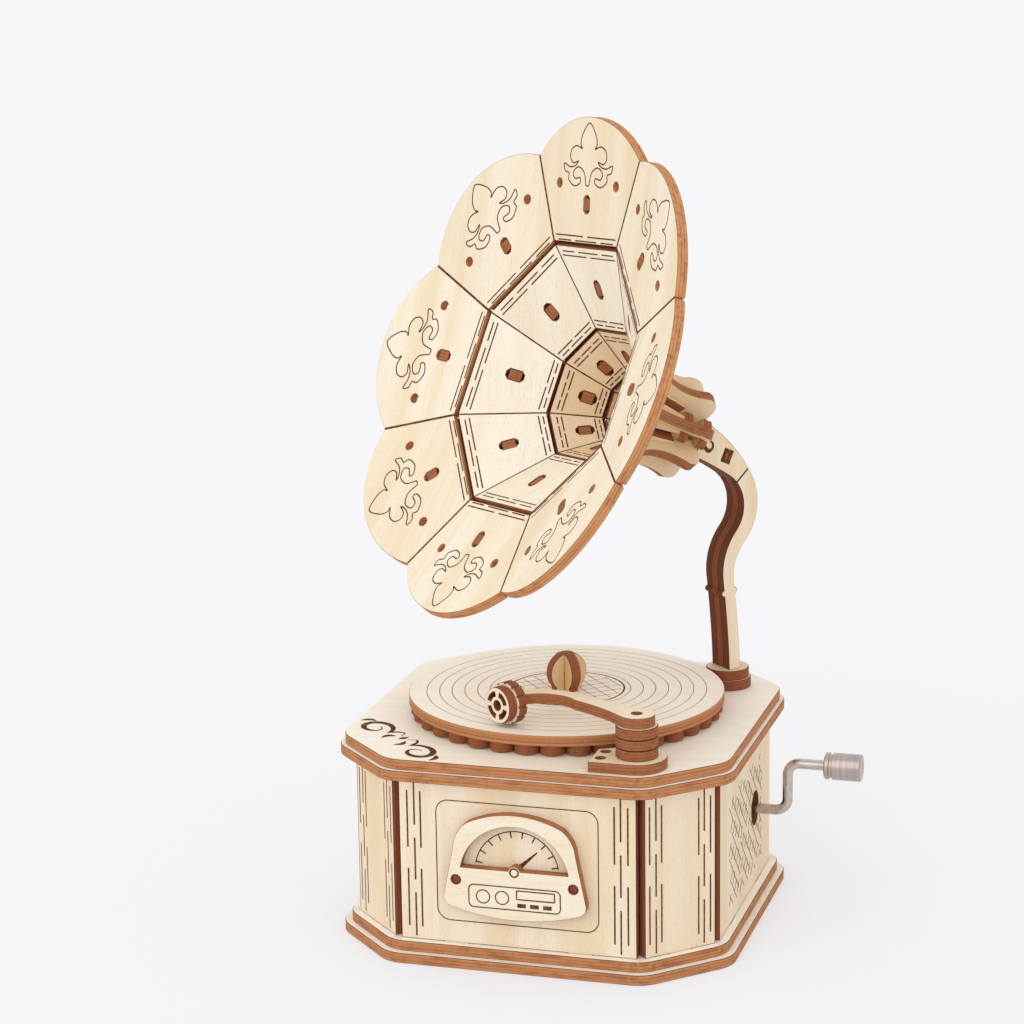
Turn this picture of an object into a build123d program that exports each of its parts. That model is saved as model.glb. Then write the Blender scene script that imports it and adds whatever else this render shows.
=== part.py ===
from build123d import *
import os
from math import atan2, cos, hypot, pi, radians, sin, sqrt, tan

# Hand-cranked music box built as a wooden gramophone. Millimetres, +Z up, the front faces -Y.
# The origin is the centre of the case on the surface that it stands on.

# Plywood and fits
ply = 2.5
fit = 0.05  # round a tab, peg or plate that stays put
bearing_fit = 0.05  # radial, round a shaft that turns
running_gap = 0.3  # between pieces that move past each other
stack_gap = 0.1  # under the turning arm
small_round_sides = 10  # flats round small pegs, screws and plain holes

# Case: an octagon with four narrow corners, its plates rounded where the walls meet
case_width = 88.8
case_depth = 88.8
corner_cut = 14.9
corner_round = 8.0
wall_height = 39.7
foot_overhang = 3.7
plinth_overhang = 2.05
lid_overhang = 3.55
deck_overhang = 2.5
wall_tab_width = 6.0
wall_tab_pitch = 30.0

# Dial bezel on the front wall, heights from the surface below
bezel_top = 38.3
bezel_shoulder = (11.4, 35.6)
bezel_waist = (14.7, 29.5)
bezel_hip = (17.1, 17.8)
bezel_foot = (15.6, 15.1)
bezel_bottom = 12.7
window_radius = 13.2
window_centre_z = 22.3
window_sill_z = 24.7
pointer_boss_radius = 1.45
pointer_boss_z = 24.4
bezel_peg_radius = 1.25
bezel_peg_x = 14.1
bezel_peg_z = 21.6
peg_recess = 0.5

# Crank: bent wire with a turned knob
crank_axis_y = 10.7
crank_axis_z = 24.5
crank_throw = 12.2
wire_radius = 1.25
wire_bend_radius = 3.0
wire_stub = 1.5
crank_reach = 52.5
knob_start = 61.7
knob_length = 8.9
knob_radius = 3.3
knob_neck_radius = 2.9
knob_neck_length = 1.2
knob_groove_width = 0.7
knob_end_wall = 1.0
knob_edge = 0.3
crank_hole_radius = 4.25

# Musical movement behind the walls
bracket_thickness = 2.0
bracket_wall = 3.0
bracket_chamfer = 2.0
wheel_thickness = 3.0
wheel_teeth = 24
wheel_hub_radius = 3.0
tooth_depth = 0.9
worm_radius = 2.9
worm_length = 5.0
worm_groove_depth = 0.7
worm_groove_share = 1.0
mesh_gap = 0.15
arbor_radius = 1.5
arbor_hole_gap = 0.5
arbor_stub = 1.0
cylinder_radius = 6.5
cylinder_wall = 1.2
pin_radius = 0.3
pin_height = 0.5
pins_per_track = 1
comb_notes = 18
comb_thickness = 1.0
comb_tooth_length = 7.0
comb_root_width = 8.0
comb_slit = 0.3
comb_step = 2.5  # the slit beside the highest note is this much shorter
comb_margin = 0.4
comb_screw_radius = 1.25
comb_screw_depth = 4.5
comb_screw_head = 1.4
bedplate_thickness = 2.0
bedplate_left = 24.0
bedplate_right = 14.0
bedplate_foot = 8.0
bedplate_relief = 0.8
lug_length = 3.0
lug_wall = 1.8
lug_inset = 0.4
movement_panel_width = 60.0
movement_screw_radius = 1.25
movement_screw_head = 2.4
movement_screw_head_height = 1.5
movement_screw_inset = 4.0

# Turntable
record_radius = 38.2
lobe_count = 36
lobe_tip_radius = 37.8
lobe_radius = 2.9
lobe_flats = 3
lobe_half_angle = 80.0
knob_disc_radius = 4.9
knob_disc_height = 4.3
knob_tab_width = 7.0

# Tonearm
arm_pivot = (27.2, -38.4)
arm_base_radius = 7.0
arm_base_left = 17.4
arm_base_clearance = 1.6
arm_base_peg_x = 19.5
arm_base_peg_y = (-41.9, -37.1)
column_radius = 4.9
column_rings = 3
pivot_peg_radius = 1.35
arm_end_radius = 4.2
arm_root = 3.0
arm_heel_width = 4.6
arm_front = [(1.5, -28.7), (10.8, -31.7), (17.9, -36.0)]
arm_back = [(21.2, -32.2), (13.3, -27.5), (5.4, -25.3), (-2.0, -25.2)]
arm_recess = 0.8
sound_box_centre = (-7.3, -34.0)
sound_box_heading = 238.1
sound_box_height = 10.6
sound_box_radius = 4.3
sound_box_back_radius = 5.0
sound_box_hole = 1.25
sound_slot_radii = (2.2, 3.3)
sound_slot_angle = 62.0
rim_notch = (0.7, 0.5)
rim_notches = 12
arm_tab_width = 3.0

# Post, in its own upright plane. Its sides are arcs of three points, each as the distance ahead of the line from
# the foot to the neck, then the share of that line. The cheeks' places count from the neck.
post_foot = (33.45, 29.09)
post_foot_lower_radius = 5.8
post_foot_upper_radius = 5.3
post_heading = -133.24
post_front = [(2.0, 0.0), (1.26, 0.102), (0.7, 0.2038), (0.32, 0.2914), (0.04, 0.3816), (-1.57, 0.4881),
              (-5.72, 0.5849), (-9.2, 0.7097), (-6.17, 0.8207), (-0.06, 0.8903), (6.5, 0.9502)]
post_back = [(-1.3, 0.0), (-2.41, 0.1854), (-3.1, 0.3732), (-4.44, 0.4586), (-7.8, 0.533), (-12.86, 0.6661),
             (-12.66, 0.813), (-9.8, 0.9089), (-5.78, 0.9951), (-1.7, 1.0562), (2.94, 1.1066)]
post_nub_radius = 0.8
post_nub_z = 74.5
post_tenon_width = 2.4
cheek_tip = (-12.0, -10.8)
cheek_arch = ((3.4, -3.0), (-5.0, 5.2))  # ends of the cheek's rounded edge, from its tip
cheek_seam = 0.15
cheek_key = (-7.2, -5.8)
cheek_key_length = 3.2
cheek_key_width = 2.5

# Horn: an eight-sided flare about a tilted axis, rings as (corner radius, distance along the axis)
horn_tilt = 24.12
horn_axis_height = 110.32  # over the centre of the post's foot
horn_reach = 57.3  # along the axis, from over the foot to the ring between petals and middle panels
horn_roll = 3.52
horn_sides = 8
horn_rings = [(55.66, 6.56), (34.61, 0.0), (16.81, -14.5), (8.81, -25.56), (6.2, -36.0)]
petal_crown = 9.5
petal_hole_radius = 1.18
petal_hole = (12.0, 14.3)
panel_slots = [(7.5, 11.8), (8.4, 13.1), (3.1, 7.5)]
slot_gap = 0.1
slot_corner = 0.8
slot_end_gap = 0.05  # between a tab's square end and the slot's cut corners
tab_recess = 0.2
rib_spine = [(12.5, -41.0), (11.7, -37.6), (11.6, -34.0), (13.3, -27.6), (19.2, -21.0)]
rib_tip_v = 17.5
rib_tip_height = 1.2
rib_bump = [(8.6, -44.7), (11.4, -43.7)]
rib_end_gap = 0.5
rib_core_radius = 4.2
rib_lap_radius = 5.0
rosette_planes = (-38.0, -43.8)
rosette_waist = 5.3
rosette_lobe_radius = 1.9
rosette_lobe_centre = 5.1
slot_overrun = 1.0

# Levels and places worked out from the sizes above
floor_z = 2 * ply
wall_top = floor_z + wall_height
deck_z = wall_top + 2 * ply
ring_z = deck_z + running_gap
record_z = ring_z + ply
record_top = record_z + ply
half_width = case_width / 2
half_depth = case_depth / 2
half_corner = radians(22.5)
plate_groove = ply * tan(half_corner)
front_run = half_width - corner_cut
side_run = half_depth - corner_cut


def write(node, *solids):
    """Write one sub-part, made of one or more separate solids."""
    pieces = [solid for shape in solids for solid in shape.solids()]
    export_step(pieces[0] if len(pieces) == 1 else Compound(pieces), f"parts/{node}.step")


def outline(*points):
    """Flat face inside straight lines through the points."""
    return make_face(Polyline(*points, close=True))


def disc(radius, bottom, height, centre=(0, 0)):
    """Upright disc standing on the level bottom."""
    return extrude(Plane((*centre, bottom)) * Circle(radius), height)


def small_round(radius):
    """Outline of a small peg, screw or hole."""
    return RegularPolygon(radius, small_round_sides)


def round_peg_hole(radius):
    """Outline of a many-sided hole just round a round peg that stays put in it."""
    return small_round((radius + fit) / cos(pi / small_round_sides))


def arcs(points):
    """Arcs through each three points in turn, the next one starting where the last one ends."""
    return [ThreePointArc(*points[start:start + 3]) for start in range(0, len(points) - 2, 2)]


def block(low, high):
    """Box between two corners."""
    size = [b - a for a, b in zip(low, high)]
    middle = [(a + b) / 2 for a, b in zip(low, high)]
    return Pos(*middle) * Box(*size)


# Case

def octagon(overhang):
    """Case outline, moved outwards by the overhang, with rounded corners."""
    shift = overhang * tan(half_corner)
    x, y = half_width + overhang, half_depth + overhang
    run_x, run_y = front_run + shift, side_run + shift
    shape = outline((run_x, -y), (x, -run_y), (x, run_y), (run_x, y),
                    (-run_x, y), (-x, run_y), (-x, -run_y), (-run_x, -y))
    return fillet(shape.vertices(), corner_round)


def wall_places():
    """Name, outer face plane (x along the wall, y up), length and tab places of each wall."""
    middle = floor_z + wall_height / 2
    corner_x, corner_y = half_width - corner_cut / 2, half_depth - corner_cut / 2
    long_tabs, short_tabs = (-wall_tab_pitch / 2, wall_tab_pitch / 2), (0,)
    corner_length = corner_cut * sqrt(2)
    flats = [
        ("front_wall", 0, -half_depth, -90, 2 * front_run, long_tabs),
        ("right_wall", half_width, 0, 0, 2 * side_run, long_tabs),
        ("rear_wall", 0, half_depth, 90, 2 * front_run, long_tabs),
        ("left_wall", -half_width, 0, 180, 2 * side_run, long_tabs),
        ("front_right_corner_wall", corner_x, -corner_y, -45, corner_length, short_tabs),
        ("rear_right_corner_wall", corner_x, corner_y, 45, corner_length, short_tabs),
        ("rear_left_corner_wall", -corner_x, corner_y, 135, corner_length, short_tabs),
        ("front_left_corner_wall", -corner_x, -corner_y, -135, corner_length, short_tabs),
    ]
    for name, x, y, heading, length, tabs in flats:
        out = (cos(radians(heading)), sin(radians(heading)), 0)
        plane = Plane((x, y, middle), x_dir=(-out[1], out[0], 0), z_dir=out)
        yield name, plane, length - 2 * plate_groove - 2 * fit, tabs


def wall(plane, length, tabs):
    """Flat wall with square-cut ends and tabs into the plates above and below it."""
    shape = Rectangle(length, wall_height - 2 * fit)
    for tab in tabs:
        shape += Pos(tab, 0) * Rectangle(wall_tab_width, wall_height + 2 * ply)
    return extrude(plane * shape, -ply)


def wall_slots():
    """Slots for the tabs of the walls, through the plates that touch the walls."""
    slots = []
    for _, plane, _, tabs in wall_places():
        for tab in tabs:
            shape = Pos(tab, 0) * Rectangle(wall_tab_width + 2 * fit, wall_height + 2 * ply)
            slots.append(extrude(plane.offset(fit) * shape, -ply - 2 * fit))
    return slots


def bezel_peg_holes(radius, depth_from, depth_to):
    """Pegs along Y at the two sides of the bezel."""
    face = Plane((0, depth_from, 0), x_dir=(1, 0, 0), z_dir=(0, -1, 0))
    holes = [Pos(side * bezel_peg_x, bezel_peg_z) * small_round(radius) for side in (-1, 1)]
    return [extrude(face * hole, depth_from - depth_to) for hole in holes]


def bezel():
    """Arched dial frame with a half-round window and a boss for the pointer."""
    def mirror_x(point):
        return (-point[0], point[1])

    crown = ThreePointArc(mirror_x(bezel_shoulder), (0, bezel_top), bezel_shoulder)
    bulge = ((bezel_shoulder[0] + bezel_waist[0]) / 2 + 0.6, (bezel_shoulder[1] + bezel_waist[1]) / 2 + 0.5)
    right = ThreePointArc(bezel_shoulder, bulge, bezel_waist)
    left = ThreePointArc(mirror_x(bezel_waist), mirror_x(bulge), mirror_x(bezel_shoulder))
    hip = TangentArc(bezel_hip, bezel_foot, tangent=(bezel_hip[0] - bezel_waist[0], bezel_hip[1] - bezel_waist[1]))
    hip_left = mirror(hip, about=Plane.YZ)
    base = ThreePointArc(bezel_foot, (0, bezel_bottom), mirror_x(bezel_foot))
    sides = [Line(bezel_waist, bezel_hip), Line(mirror_x(bezel_waist), mirror_x(bezel_hip))]
    frame = make_face([crown, right, left, hip, hip_left, base, *sides])
    window = Pos(0, window_centre_z) * Circle(window_radius)
    window -= Pos(0, window_sill_z - 2 * window_radius) * Rectangle(4 * window_radius, 4 * window_radius)
    frame -= window
    frame += Pos(0, pointer_boss_z) * Circle(pointer_boss_radius)
    return extrude(Plane((0, -half_depth, 0), x_dir=(1, 0, 0), z_dir=(0, -1, 0)) * frame, ply)


def make_case():
    floor_plate = extrude(octagon(foot_overhang), ply)
    plinth_plate = extrude(Plane((0, 0, ply)) * octagon(plinth_overhang), ply)
    lid_plate = extrude(Plane((0, 0, wall_top)) * octagon(lid_overhang), ply)
    deck_plate = extrude(Plane((0, 0, wall_top + ply)) * octagon(deck_overhang), ply)
    shaft_hole = disc(arbor_radius + arbor_hole_gap, wall_top, 2 * ply)
    post_hole = post_mortise()
    plinth_plate -= wall_slots() + movement_slots()
    lid_plate -= wall_slots() + movement_slots() + [shaft_hole]
    deck_plate -= [shaft_hole, post_hole]
    write("lower_bottom_plate", floor_plate)
    write("upper_bottom_plate", plinth_plate)
    write("lower_top_plate", lid_plate)
    write("upper_top_plate", deck_plate)
    for name, plane, length, tabs in wall_places():
        piece = wall(plane, length, tabs)
        if name == "front_wall":
            piece -= bezel_peg_holes(bezel_peg_radius, -half_depth + ply, -half_depth)
        if name == "right_wall":
            piece -= Pos(half_width, crank_axis_y, crank_axis_z) * Rot(0, 90, 0) * Cylinder(crank_hole_radius, 3 * ply)
        write(name, piece)
    face = -half_depth - ply
    write("dial_bezel", bezel() - bezel_peg_holes(bezel_peg_radius, -half_depth, face))
    write("dial_bezel_pegs", *bezel_peg_holes(bezel_peg_radius - fit, -half_depth + ply, face + peg_recess))


# Musical movement

bedplate_face = crank_axis_y + worm_radius + bedplate_relief
bedplate_back = bedplate_face + bedplate_thickness
wheel_radius = crank_axis_y - worm_radius - mesh_gap
wheel_top = crank_axis_z + wheel_thickness / 2
wheel_bottom = crank_axis_z - wheel_thickness / 2
bedplate_top = wall_top - running_gap
upper_bracket_z = bedplate_top - bracket_thickness
lower_bracket_z = crank_axis_z - worm_radius - running_gap - bracket_thickness
bedplate_bottom = lower_bracket_z - bedplate_foot
cylinder_bottom = wheel_top + running_gap
cylinder_top = upper_bracket_z - running_gap
comb_tip = cylinder_radius + pin_height + running_gap
comb_root = comb_tip + comb_tooth_length
comb_back = comb_root + comb_root_width
comb_screw_end = comb_thickness / 2 + comb_screw_depth
bracket_half_width = arbor_radius + bracket_wall
lug_start = wheel_radius - lug_inset
movement_screw_x = (-comb_root - comb_root_width / 2, bedplate_right - movement_screw_inset)
movement_screw_z = bedplate_bottom + movement_screw_inset


def along_y(radius, x, z, start, end):
    """Small round bar along Y."""
    return extrude(Plane((x, start, z), x_dir=(1, 0, 0), z_dir=(0, 1, 0)) * small_round(radius), end - start)


def movement_slots():
    """Slots in the plates for the movement panel's tabs."""
    slots = []
    for side in (-1, 1):
        x = side * movement_panel_width / 4
        low = (x - wall_tab_width / 2 - fit, bedplate_back, floor_z - ply)
        high = (x + wall_tab_width / 2 + fit, bedplate_back + ply + 2 * fit, wall_top + ply)
        slots.append(block(low, high))
    return slots


def movement_panel():
    """Upright wooden panel that the movement is screwed to."""
    low = (-movement_panel_width / 2, bedplate_back + fit, floor_z + fit)
    high = (movement_panel_width / 2, bedplate_back + fit + ply, wall_top - fit)
    panel = block(low, high)
    for side in (-1, 1):
        x = side * movement_panel_width / 4
        panel += block((x - wall_tab_width / 2, low[1], floor_z - ply), (x + wall_tab_width / 2, high[1], wall_top + ply))
    for x in movement_screw_x:
        panel -= along_y(movement_screw_radius, x, movement_screw_z, low[1], high[1])
    return panel


def bedplate():
    """Cast plate with two crank bearings and a pedestal that the comb is screwed to."""
    plate = block((-bedplate_left, bedplate_face, bedplate_bottom), (bedplate_right, bedplate_back, bedplate_top))
    half_lug = wire_radius + lug_wall
    for side in (-1, 1):
        inner, outer = sorted((side * lug_start, side * (lug_start + lug_length)))
        plate += block((inner, crank_axis_y - half_lug, crank_axis_z - half_lug),
                       (outer, bedplate_face, crank_axis_z + half_lug))
    plate += block((-comb_back, comb_thickness / 2, cylinder_bottom + comb_margin),
                   (-comb_root, bedplate_face, cylinder_top - comb_margin))
    plate -= Pos(0, crank_axis_y, crank_axis_z) * Rot(0, 90, 0) * Cylinder(
        wire_radius + bearing_fit, 2 * (lug_start + lug_length))
    for z in comb_screw_levels():
        plate -= along_y(comb_screw_radius, comb_screw_x(), z, comb_thickness / 2, comb_screw_end + fit)
    for x in movement_screw_x:
        plate -= along_y(movement_screw_radius, x, movement_screw_z, bedplate_face, bedplate_back)
    return plate


def comb_screw_x():
    """Middle of the comb's root strip."""
    return -comb_root - comb_root_width / 2


def comb_screw_levels():
    """Heights of the comb's two screws."""
    middle = (cylinder_bottom + cylinder_top) / 2
    spread = (cylinder_top - cylinder_bottom) / 4
    return (middle - spread, middle + spread)


def comb():
    """Steel comb: a root strip and one tuned tooth for each note, longer for the low notes."""
    low, high = cylinder_bottom + comb_margin, cylinder_top - comb_margin
    plate = block((-comb_back, -comb_thickness / 2, low), (-comb_tip, comb_thickness / 2, high))
    pitch = (high - low) / comb_notes
    for slit in range(1, comb_notes):
        z = low + slit * pitch
        reach = comb_root - comb_step * slit / comb_notes
        plate -= block((-reach, -comb_thickness, z - comb_slit / 2), (0, comb_thickness, z + comb_slit / 2))
    for z in comb_screw_levels():
        plate -= along_y(comb_screw_radius, comb_screw_x(), z, -comb_thickness, comb_thickness)
    return plate


def comb_screws():
    """Cheese-head screws through the comb into its pedestal."""
    screws = []
    face = -comb_thickness / 2
    for z in comb_screw_levels():
        shank = along_y(comb_screw_radius - fit, comb_screw_x(), z, face, comb_screw_end)
        screws.append(shank + along_y(2 * comb_screw_radius, comb_screw_x(), z, face - comb_screw_head, face))
    return screws


def movement_screws():
    """Screws through the wooden panel into the bedplate."""
    screws = []
    back = bedplate_back + fit + ply
    for x in movement_screw_x:
        shank = along_y(movement_screw_radius - fit, x, movement_screw_z, bedplate_face + fit, back)
        head = along_y(movement_screw_head, x, movement_screw_z, back, back + movement_screw_head_height)
        screws.append(shank + head)
    return screws


def arbor_brackets():
    """Two plates on the bedplate, each with a bearing for the arbor."""
    brackets = []
    for z in (lower_bracket_z, upper_bracket_z):
        nose = bracket_half_width - bracket_chamfer
        shape = outline((-bracket_half_width, bedplate_face), (-bracket_half_width, -nose), (-nose, -bracket_half_width),
                        (nose, -bracket_half_width), (bracket_half_width, -nose), (bracket_half_width, bedplate_face))
        shape -= Circle(arbor_radius + bearing_fit)
        brackets.append(extrude(Plane((0, 0, z)) * shape, bracket_thickness))
    return brackets


def pinned_cylinder():
    """Brass drum with the pins of the tune, hollow above its lower end."""
    length = cylinder_top - cylinder_bottom
    drum = disc(cylinder_radius, cylinder_bottom, length)
    drum -= disc(cylinder_radius - cylinder_wall, cylinder_bottom + cylinder_wall, length)
    drum -= disc(arbor_radius + fit, cylinder_bottom, length)
    pitch = (length - 2 * comb_margin) / comb_notes
    pins = []
    for note in range(comb_notes):
        z = cylinder_bottom + comb_margin + (note + 0.5) * pitch
        for turn in range(pins_per_track):
            angle = 360 * turn / pins_per_track + 137.5 * note
            pin = Box(2 * pin_height, 2 * pin_radius, 2 * pin_radius)
            pins.append(Rot(0, 0, angle) * Pos(cylinder_radius, 0, z) * pin)
    return drum + pins


def worm_wheel():
    """Toothed wheel on the arbor, with stub teeth that stay clear of the worm."""
    root = wheel_radius - tooth_depth
    half_root = radians(0.32 * 360 / wheel_teeth)
    half_tip = radians(0.16 * 360 / wheel_teeth)
    points = []
    for tooth in range(wheel_teeth):
        middle = radians(360 * tooth / wheel_teeth)
        for angle, radius in ((-half_root, root), (-half_tip, wheel_radius), (half_tip, wheel_radius), (half_root, root)):
            points.append((radius * cos(middle + angle), radius * sin(middle + angle)))
    wheel = extrude(Plane((0, 0, wheel_bottom)) * outline(*points), wheel_thickness)
    hub_z = lower_bracket_z + bracket_thickness + running_gap
    wheel += disc(wheel_hub_radius, hub_z, wheel_bottom - hub_z)
    return wheel - disc(arbor_radius + fit, hub_z, wheel_top - hub_z)


def worm():
    """Brass worm on the crank wire."""
    pitch = 2 * pi * (wheel_radius - tooth_depth / 2) / wheel_teeth
    turns = int(worm_length / pitch)
    points = [(wire_radius + fit, -worm_length / 2), (worm_radius, -worm_length / 2)]
    start = -turns * pitch / 2
    for turn in range(turns):
        x = start + (turn + 0.5) * pitch
        flank = worm_groove_share * pitch / 2
        points += [(worm_radius, x - flank), (worm_radius - worm_groove_depth, x), (worm_radius, x + flank)]
    points += [(worm_radius, worm_length / 2), (wire_radius + fit, worm_length / 2)]
    body = revolve(Plane.XZ * outline(*points), Axis.Z)
    return Pos(0, crank_axis_y, crank_axis_z) * Rot(0, 90, 0) * body


def crank_wire():
    """Bent wire: the shaft through the movement, the throw and the spindle of the knob."""
    left = -lug_start - lug_length - wire_stub
    top = crank_axis_z + crank_throw
    end = knob_start + knob_length - knob_end_wall - running_gap
    corners = [(left, crank_axis_z), (crank_reach, crank_axis_z), (crank_reach, top), (end, top)]
    points = [(x, crank_axis_y, z) for x, z in corners]
    path = FilletPolyline(*points, radius=wire_bend_radius)
    start = Plane(points[0], x_dir=(0, 1, 0), z_dir=(1, 0, 0))
    return sweep(start * Circle(wire_radius), path=path)


def crank_knob():
    """Turned steel knob with a groove near its inner end and a blind bore for the wire."""
    neck = knob_neck_length
    groove = neck + knob_groove_width
    bore = wire_radius + bearing_fit
    depth = knob_length - knob_end_wall
    edge = knob_edge
    points = [(bore, 0), (knob_radius - edge, 0), (knob_radius, edge), (knob_radius, neck), (knob_neck_radius, neck),
              (knob_neck_radius, groove), (knob_radius, groove), (knob_radius, knob_length - edge),
              (knob_radius - edge, knob_length), (0, knob_length), (0, depth), (bore, depth)]
    body = revolve(Plane.XZ * outline(*points), Axis.Z)
    return Pos(knob_start, crank_axis_y, crank_axis_z + crank_throw) * Rot(0, 90, 0) * body


def arbor():
    """Steel arbor from the lower bracket up into the disc under the record."""
    bottom = lower_bracket_z - arbor_stub
    return disc(arbor_radius, bottom, record_z - bottom)


def make_movement():
    write("movement_panel", movement_panel())
    write("bedplate", bedplate())
    write("comb", comb())
    write("comb_screws", *comb_screws())
    write("movement_screws", *movement_screws())
    write("arbor_brackets", *arbor_brackets())
    write("pinned_cylinder", pinned_cylinder())
    write("worm_wheel", worm_wheel())
    write("worm", worm())
    write("crank_wire", crank_wire())
    write("crank_knob", crank_knob())
    write("cylinder_arbor", arbor())


# Turntable

knob_middle = record_top + knob_disc_height


def lobed_disc():
    """Disc under the record with a rim of round lobes."""
    points = []
    for lobe in range(lobe_count):
        middle = 2 * pi * lobe / lobe_count
        for flat in range(lobe_flats + 1):
            turn = middle + radians(lobe_half_angle) * (2 * flat / lobe_flats - 1)
            x = (lobe_tip_radius - lobe_radius) * cos(middle) + lobe_radius * cos(turn)
            y = (lobe_tip_radius - lobe_radius) * sin(middle) + lobe_radius * sin(turn)
            points.append((x, y))
    shape = outline(*points) - Circle(arbor_radius + fit)
    return extrude(Plane((0, 0, ring_z)) * shape, ply)


def record_disc():
    """Plain record with a crossed slot for the knob."""
    slot = Rectangle(knob_tab_width + 2 * fit, ply + 2 * fit) + Rectangle(ply + 2 * fit, knob_tab_width + 2 * fit)
    shape = Circle(record_radius) - Rot(0, 0, 45) * slot
    return extrude(Plane((0, 0, record_z)) * shape, ply)


def knob_disc(heading, slot_from, slot_to):
    """Upright disc, cut flat on the record, with a tab into it and half of the cross lap."""
    shape = Pos(0, knob_middle) * Circle(knob_disc_radius)
    shape -= Pos(0, record_top - knob_disc_radius) * Rectangle(4 * knob_disc_radius, 2 * knob_disc_radius)
    shape += Pos(0, (record_z + knob_middle) / 2) * Rectangle(knob_tab_width, knob_middle - record_z)
    slot_height = slot_to - slot_from
    shape -= Pos(0, slot_from + slot_height / 2) * Rectangle(ply + 2 * fit, slot_height)
    across = (cos(radians(heading)), sin(radians(heading)), 0)
    out = (sin(radians(heading)), -cos(radians(heading)), 0)
    return extrude(Plane((0, 0, 0), x_dir=across, z_dir=out) * shape, ply / 2, both=True)


def make_turntable():
    write("lobed_disc", lobed_disc())
    write("record_disc", record_disc())
    write("knob_disc_left", knob_disc(-45, knob_middle, knob_middle + 2 * knob_disc_radius))
    write("knob_disc_right", knob_disc(45, record_z - ply, knob_middle + fit))


# Tonearm

column_z = deck_z + ply
arm_z = column_z + column_rings * ply + stack_gap
facing = (cos(radians(sound_box_heading)), sin(radians(sound_box_heading)))


def tonearm_base():
    """Base with a round end under the column and a back edge that follows the record."""
    x, y = arm_pivot
    front = y - arm_base_radius
    shape = outline((arm_base_left, front), (x, front), (x, y), (arm_base_left, y + 2 * arm_base_radius))
    shape += Pos(x, y) * Circle(arm_base_radius)
    shape -= Circle(record_radius + arm_base_clearance)
    for peg_y in arm_base_peg_y:
        shape -= Pos(arm_base_peg_x, peg_y) * small_round(bezel_peg_radius)
    shape -= Pos(x, y) * round_peg_hole(pivot_peg_radius)
    return extrude(Plane((0, 0, deck_z)) * shape, ply)


def tonearm_arm():
    """Curved flat arm from the pivot to the back of the sound box, with a tab into it."""
    px, py = arm_pivot
    across = (-facing[1], facing[0])
    heel = (sound_box_centre[0] - 2 * ply * facing[0], sound_box_centre[1] - 2 * ply * facing[1])
    half = arm_heel_width / 2
    near = (heel[0] + half * across[0], heel[1] + half * across[1])
    far = (heel[0] - half * across[0], heel[1] - half * across[1])
    front = arcs([near, *arm_front, (px - arm_root, py - arm_root)])
    back = arcs([(px + arm_root, py + arm_root), *arm_back])
    ends = [Line(front[-1] @ 1, back[0] @ 0), Line(back[-1] @ 1, far), Line(far, near)]
    shape = make_face([*front, *back, *ends])
    shape += Pos(px, py) * Circle(arm_end_radius)
    reach = ply - tab_recess
    tab = (heel[0] + reach / 2 * facing[0], heel[1] + reach / 2 * facing[1])
    shape += Pos(*tab) * Rot(0, 0, sound_box_heading) * Rectangle(reach, arm_tab_width)
    shape -= Pos(px, py) * Circle(pivot_peg_radius + bearing_fit)
    return extrude(Plane((0, 0, arm_z)) * shape, ply)


def sound_disc(radius, front, tab_hole):
    """Upright disc of the sound box whose front face lies at a distance behind the front one."""
    centre = (sound_box_centre[0] - front * facing[0], sound_box_centre[1] - front * facing[1])
    z = deck_z + sound_box_height
    plane = Plane((*centre, z), x_dir=(-facing[1], facing[0], 0), z_dir=(*facing, 0))
    shape = Circle(radius)
    if tab_hole:
        shape -= Pos(0, arm_z + ply / 2 - z) * Rectangle(arm_tab_width + 2 * fit, ply + 2 * fit)
    return plane, shape


def sound_box_front():
    """Front disc with four arc slots; its middle hole shows the arm's tab."""
    plane, shape = sound_disc(sound_box_radius, 0, False)
    inner, outer = sound_slot_radii
    ring = Circle(outer) - Circle(inner)
    for quarter in range(4):
        half = radians(sound_slot_angle / 2)
        wedge = outline((0, 0), (2 * outer * cos(half), -2 * outer * sin(half)), (2 * outer * cos(half), 2 * outer * sin(half)))
        shape -= Rot(0, 0, 90 * quarter + 45) * (ring & wedge)
    shape -= small_round(sound_box_hole)
    return extrude(plane * shape, -ply)


def sound_box_back():
    """Rear disc with small notches round its rim and a slot for the arm's tab."""
    plane, shape = sound_disc(sound_box_back_radius, ply, True)
    shape -= PolarLocations(sound_box_back_radius, rim_notches) * Rectangle(*rim_notch)
    return extrude(plane * shape, -ply)


def make_tonearm():
    write("tonearm_base", tonearm_base())
    pegs = []
    for y in arm_base_peg_y:
        peg = Plane((arm_base_peg_x, y, deck_z)) * small_round(bezel_peg_radius - fit)
        pegs.append(extrude(peg, ply - peg_recess))
    write("tonearm_base_pegs", *pegs)
    rings = []
    for level in range(column_rings):
        ring = Circle(column_radius) - round_peg_hole(pivot_peg_radius)
        rings.append(extrude(Plane((*arm_pivot, column_z + level * ply)) * ring, ply))
    write("tonearm_column_rings", *rings)
    write("tonearm_pivot_peg", disc(pivot_peg_radius, deck_z, arm_z + ply - arm_recess - deck_z, arm_pivot))
    write("tonearm_arm", tonearm_arm())
    write("sound_box_front_disc", sound_box_front())
    write("sound_box_rear_disc", sound_box_back())


# Post

post_out = (cos(radians(post_heading)), sin(radians(post_heading)))
post_side = (-post_out[1], post_out[0])
post_plane = Plane((*post_foot, 0), x_dir=(*post_out, 0), z_dir=(-post_side[0], -post_side[1], 0))
post_base = deck_z + 2 * ply
post_middle = (post_front[0][0] + post_back[0][0]) / 2


def axis_point(reach, rise=0.0):
    """Point of the post's plane at a distance along the horn's axis from over the foot, and above it."""
    tilt = radians(horn_tilt)
    return (reach * cos(tilt) - rise * sin(tilt), horn_axis_height + reach * sin(tilt) + rise * cos(tilt))


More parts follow.
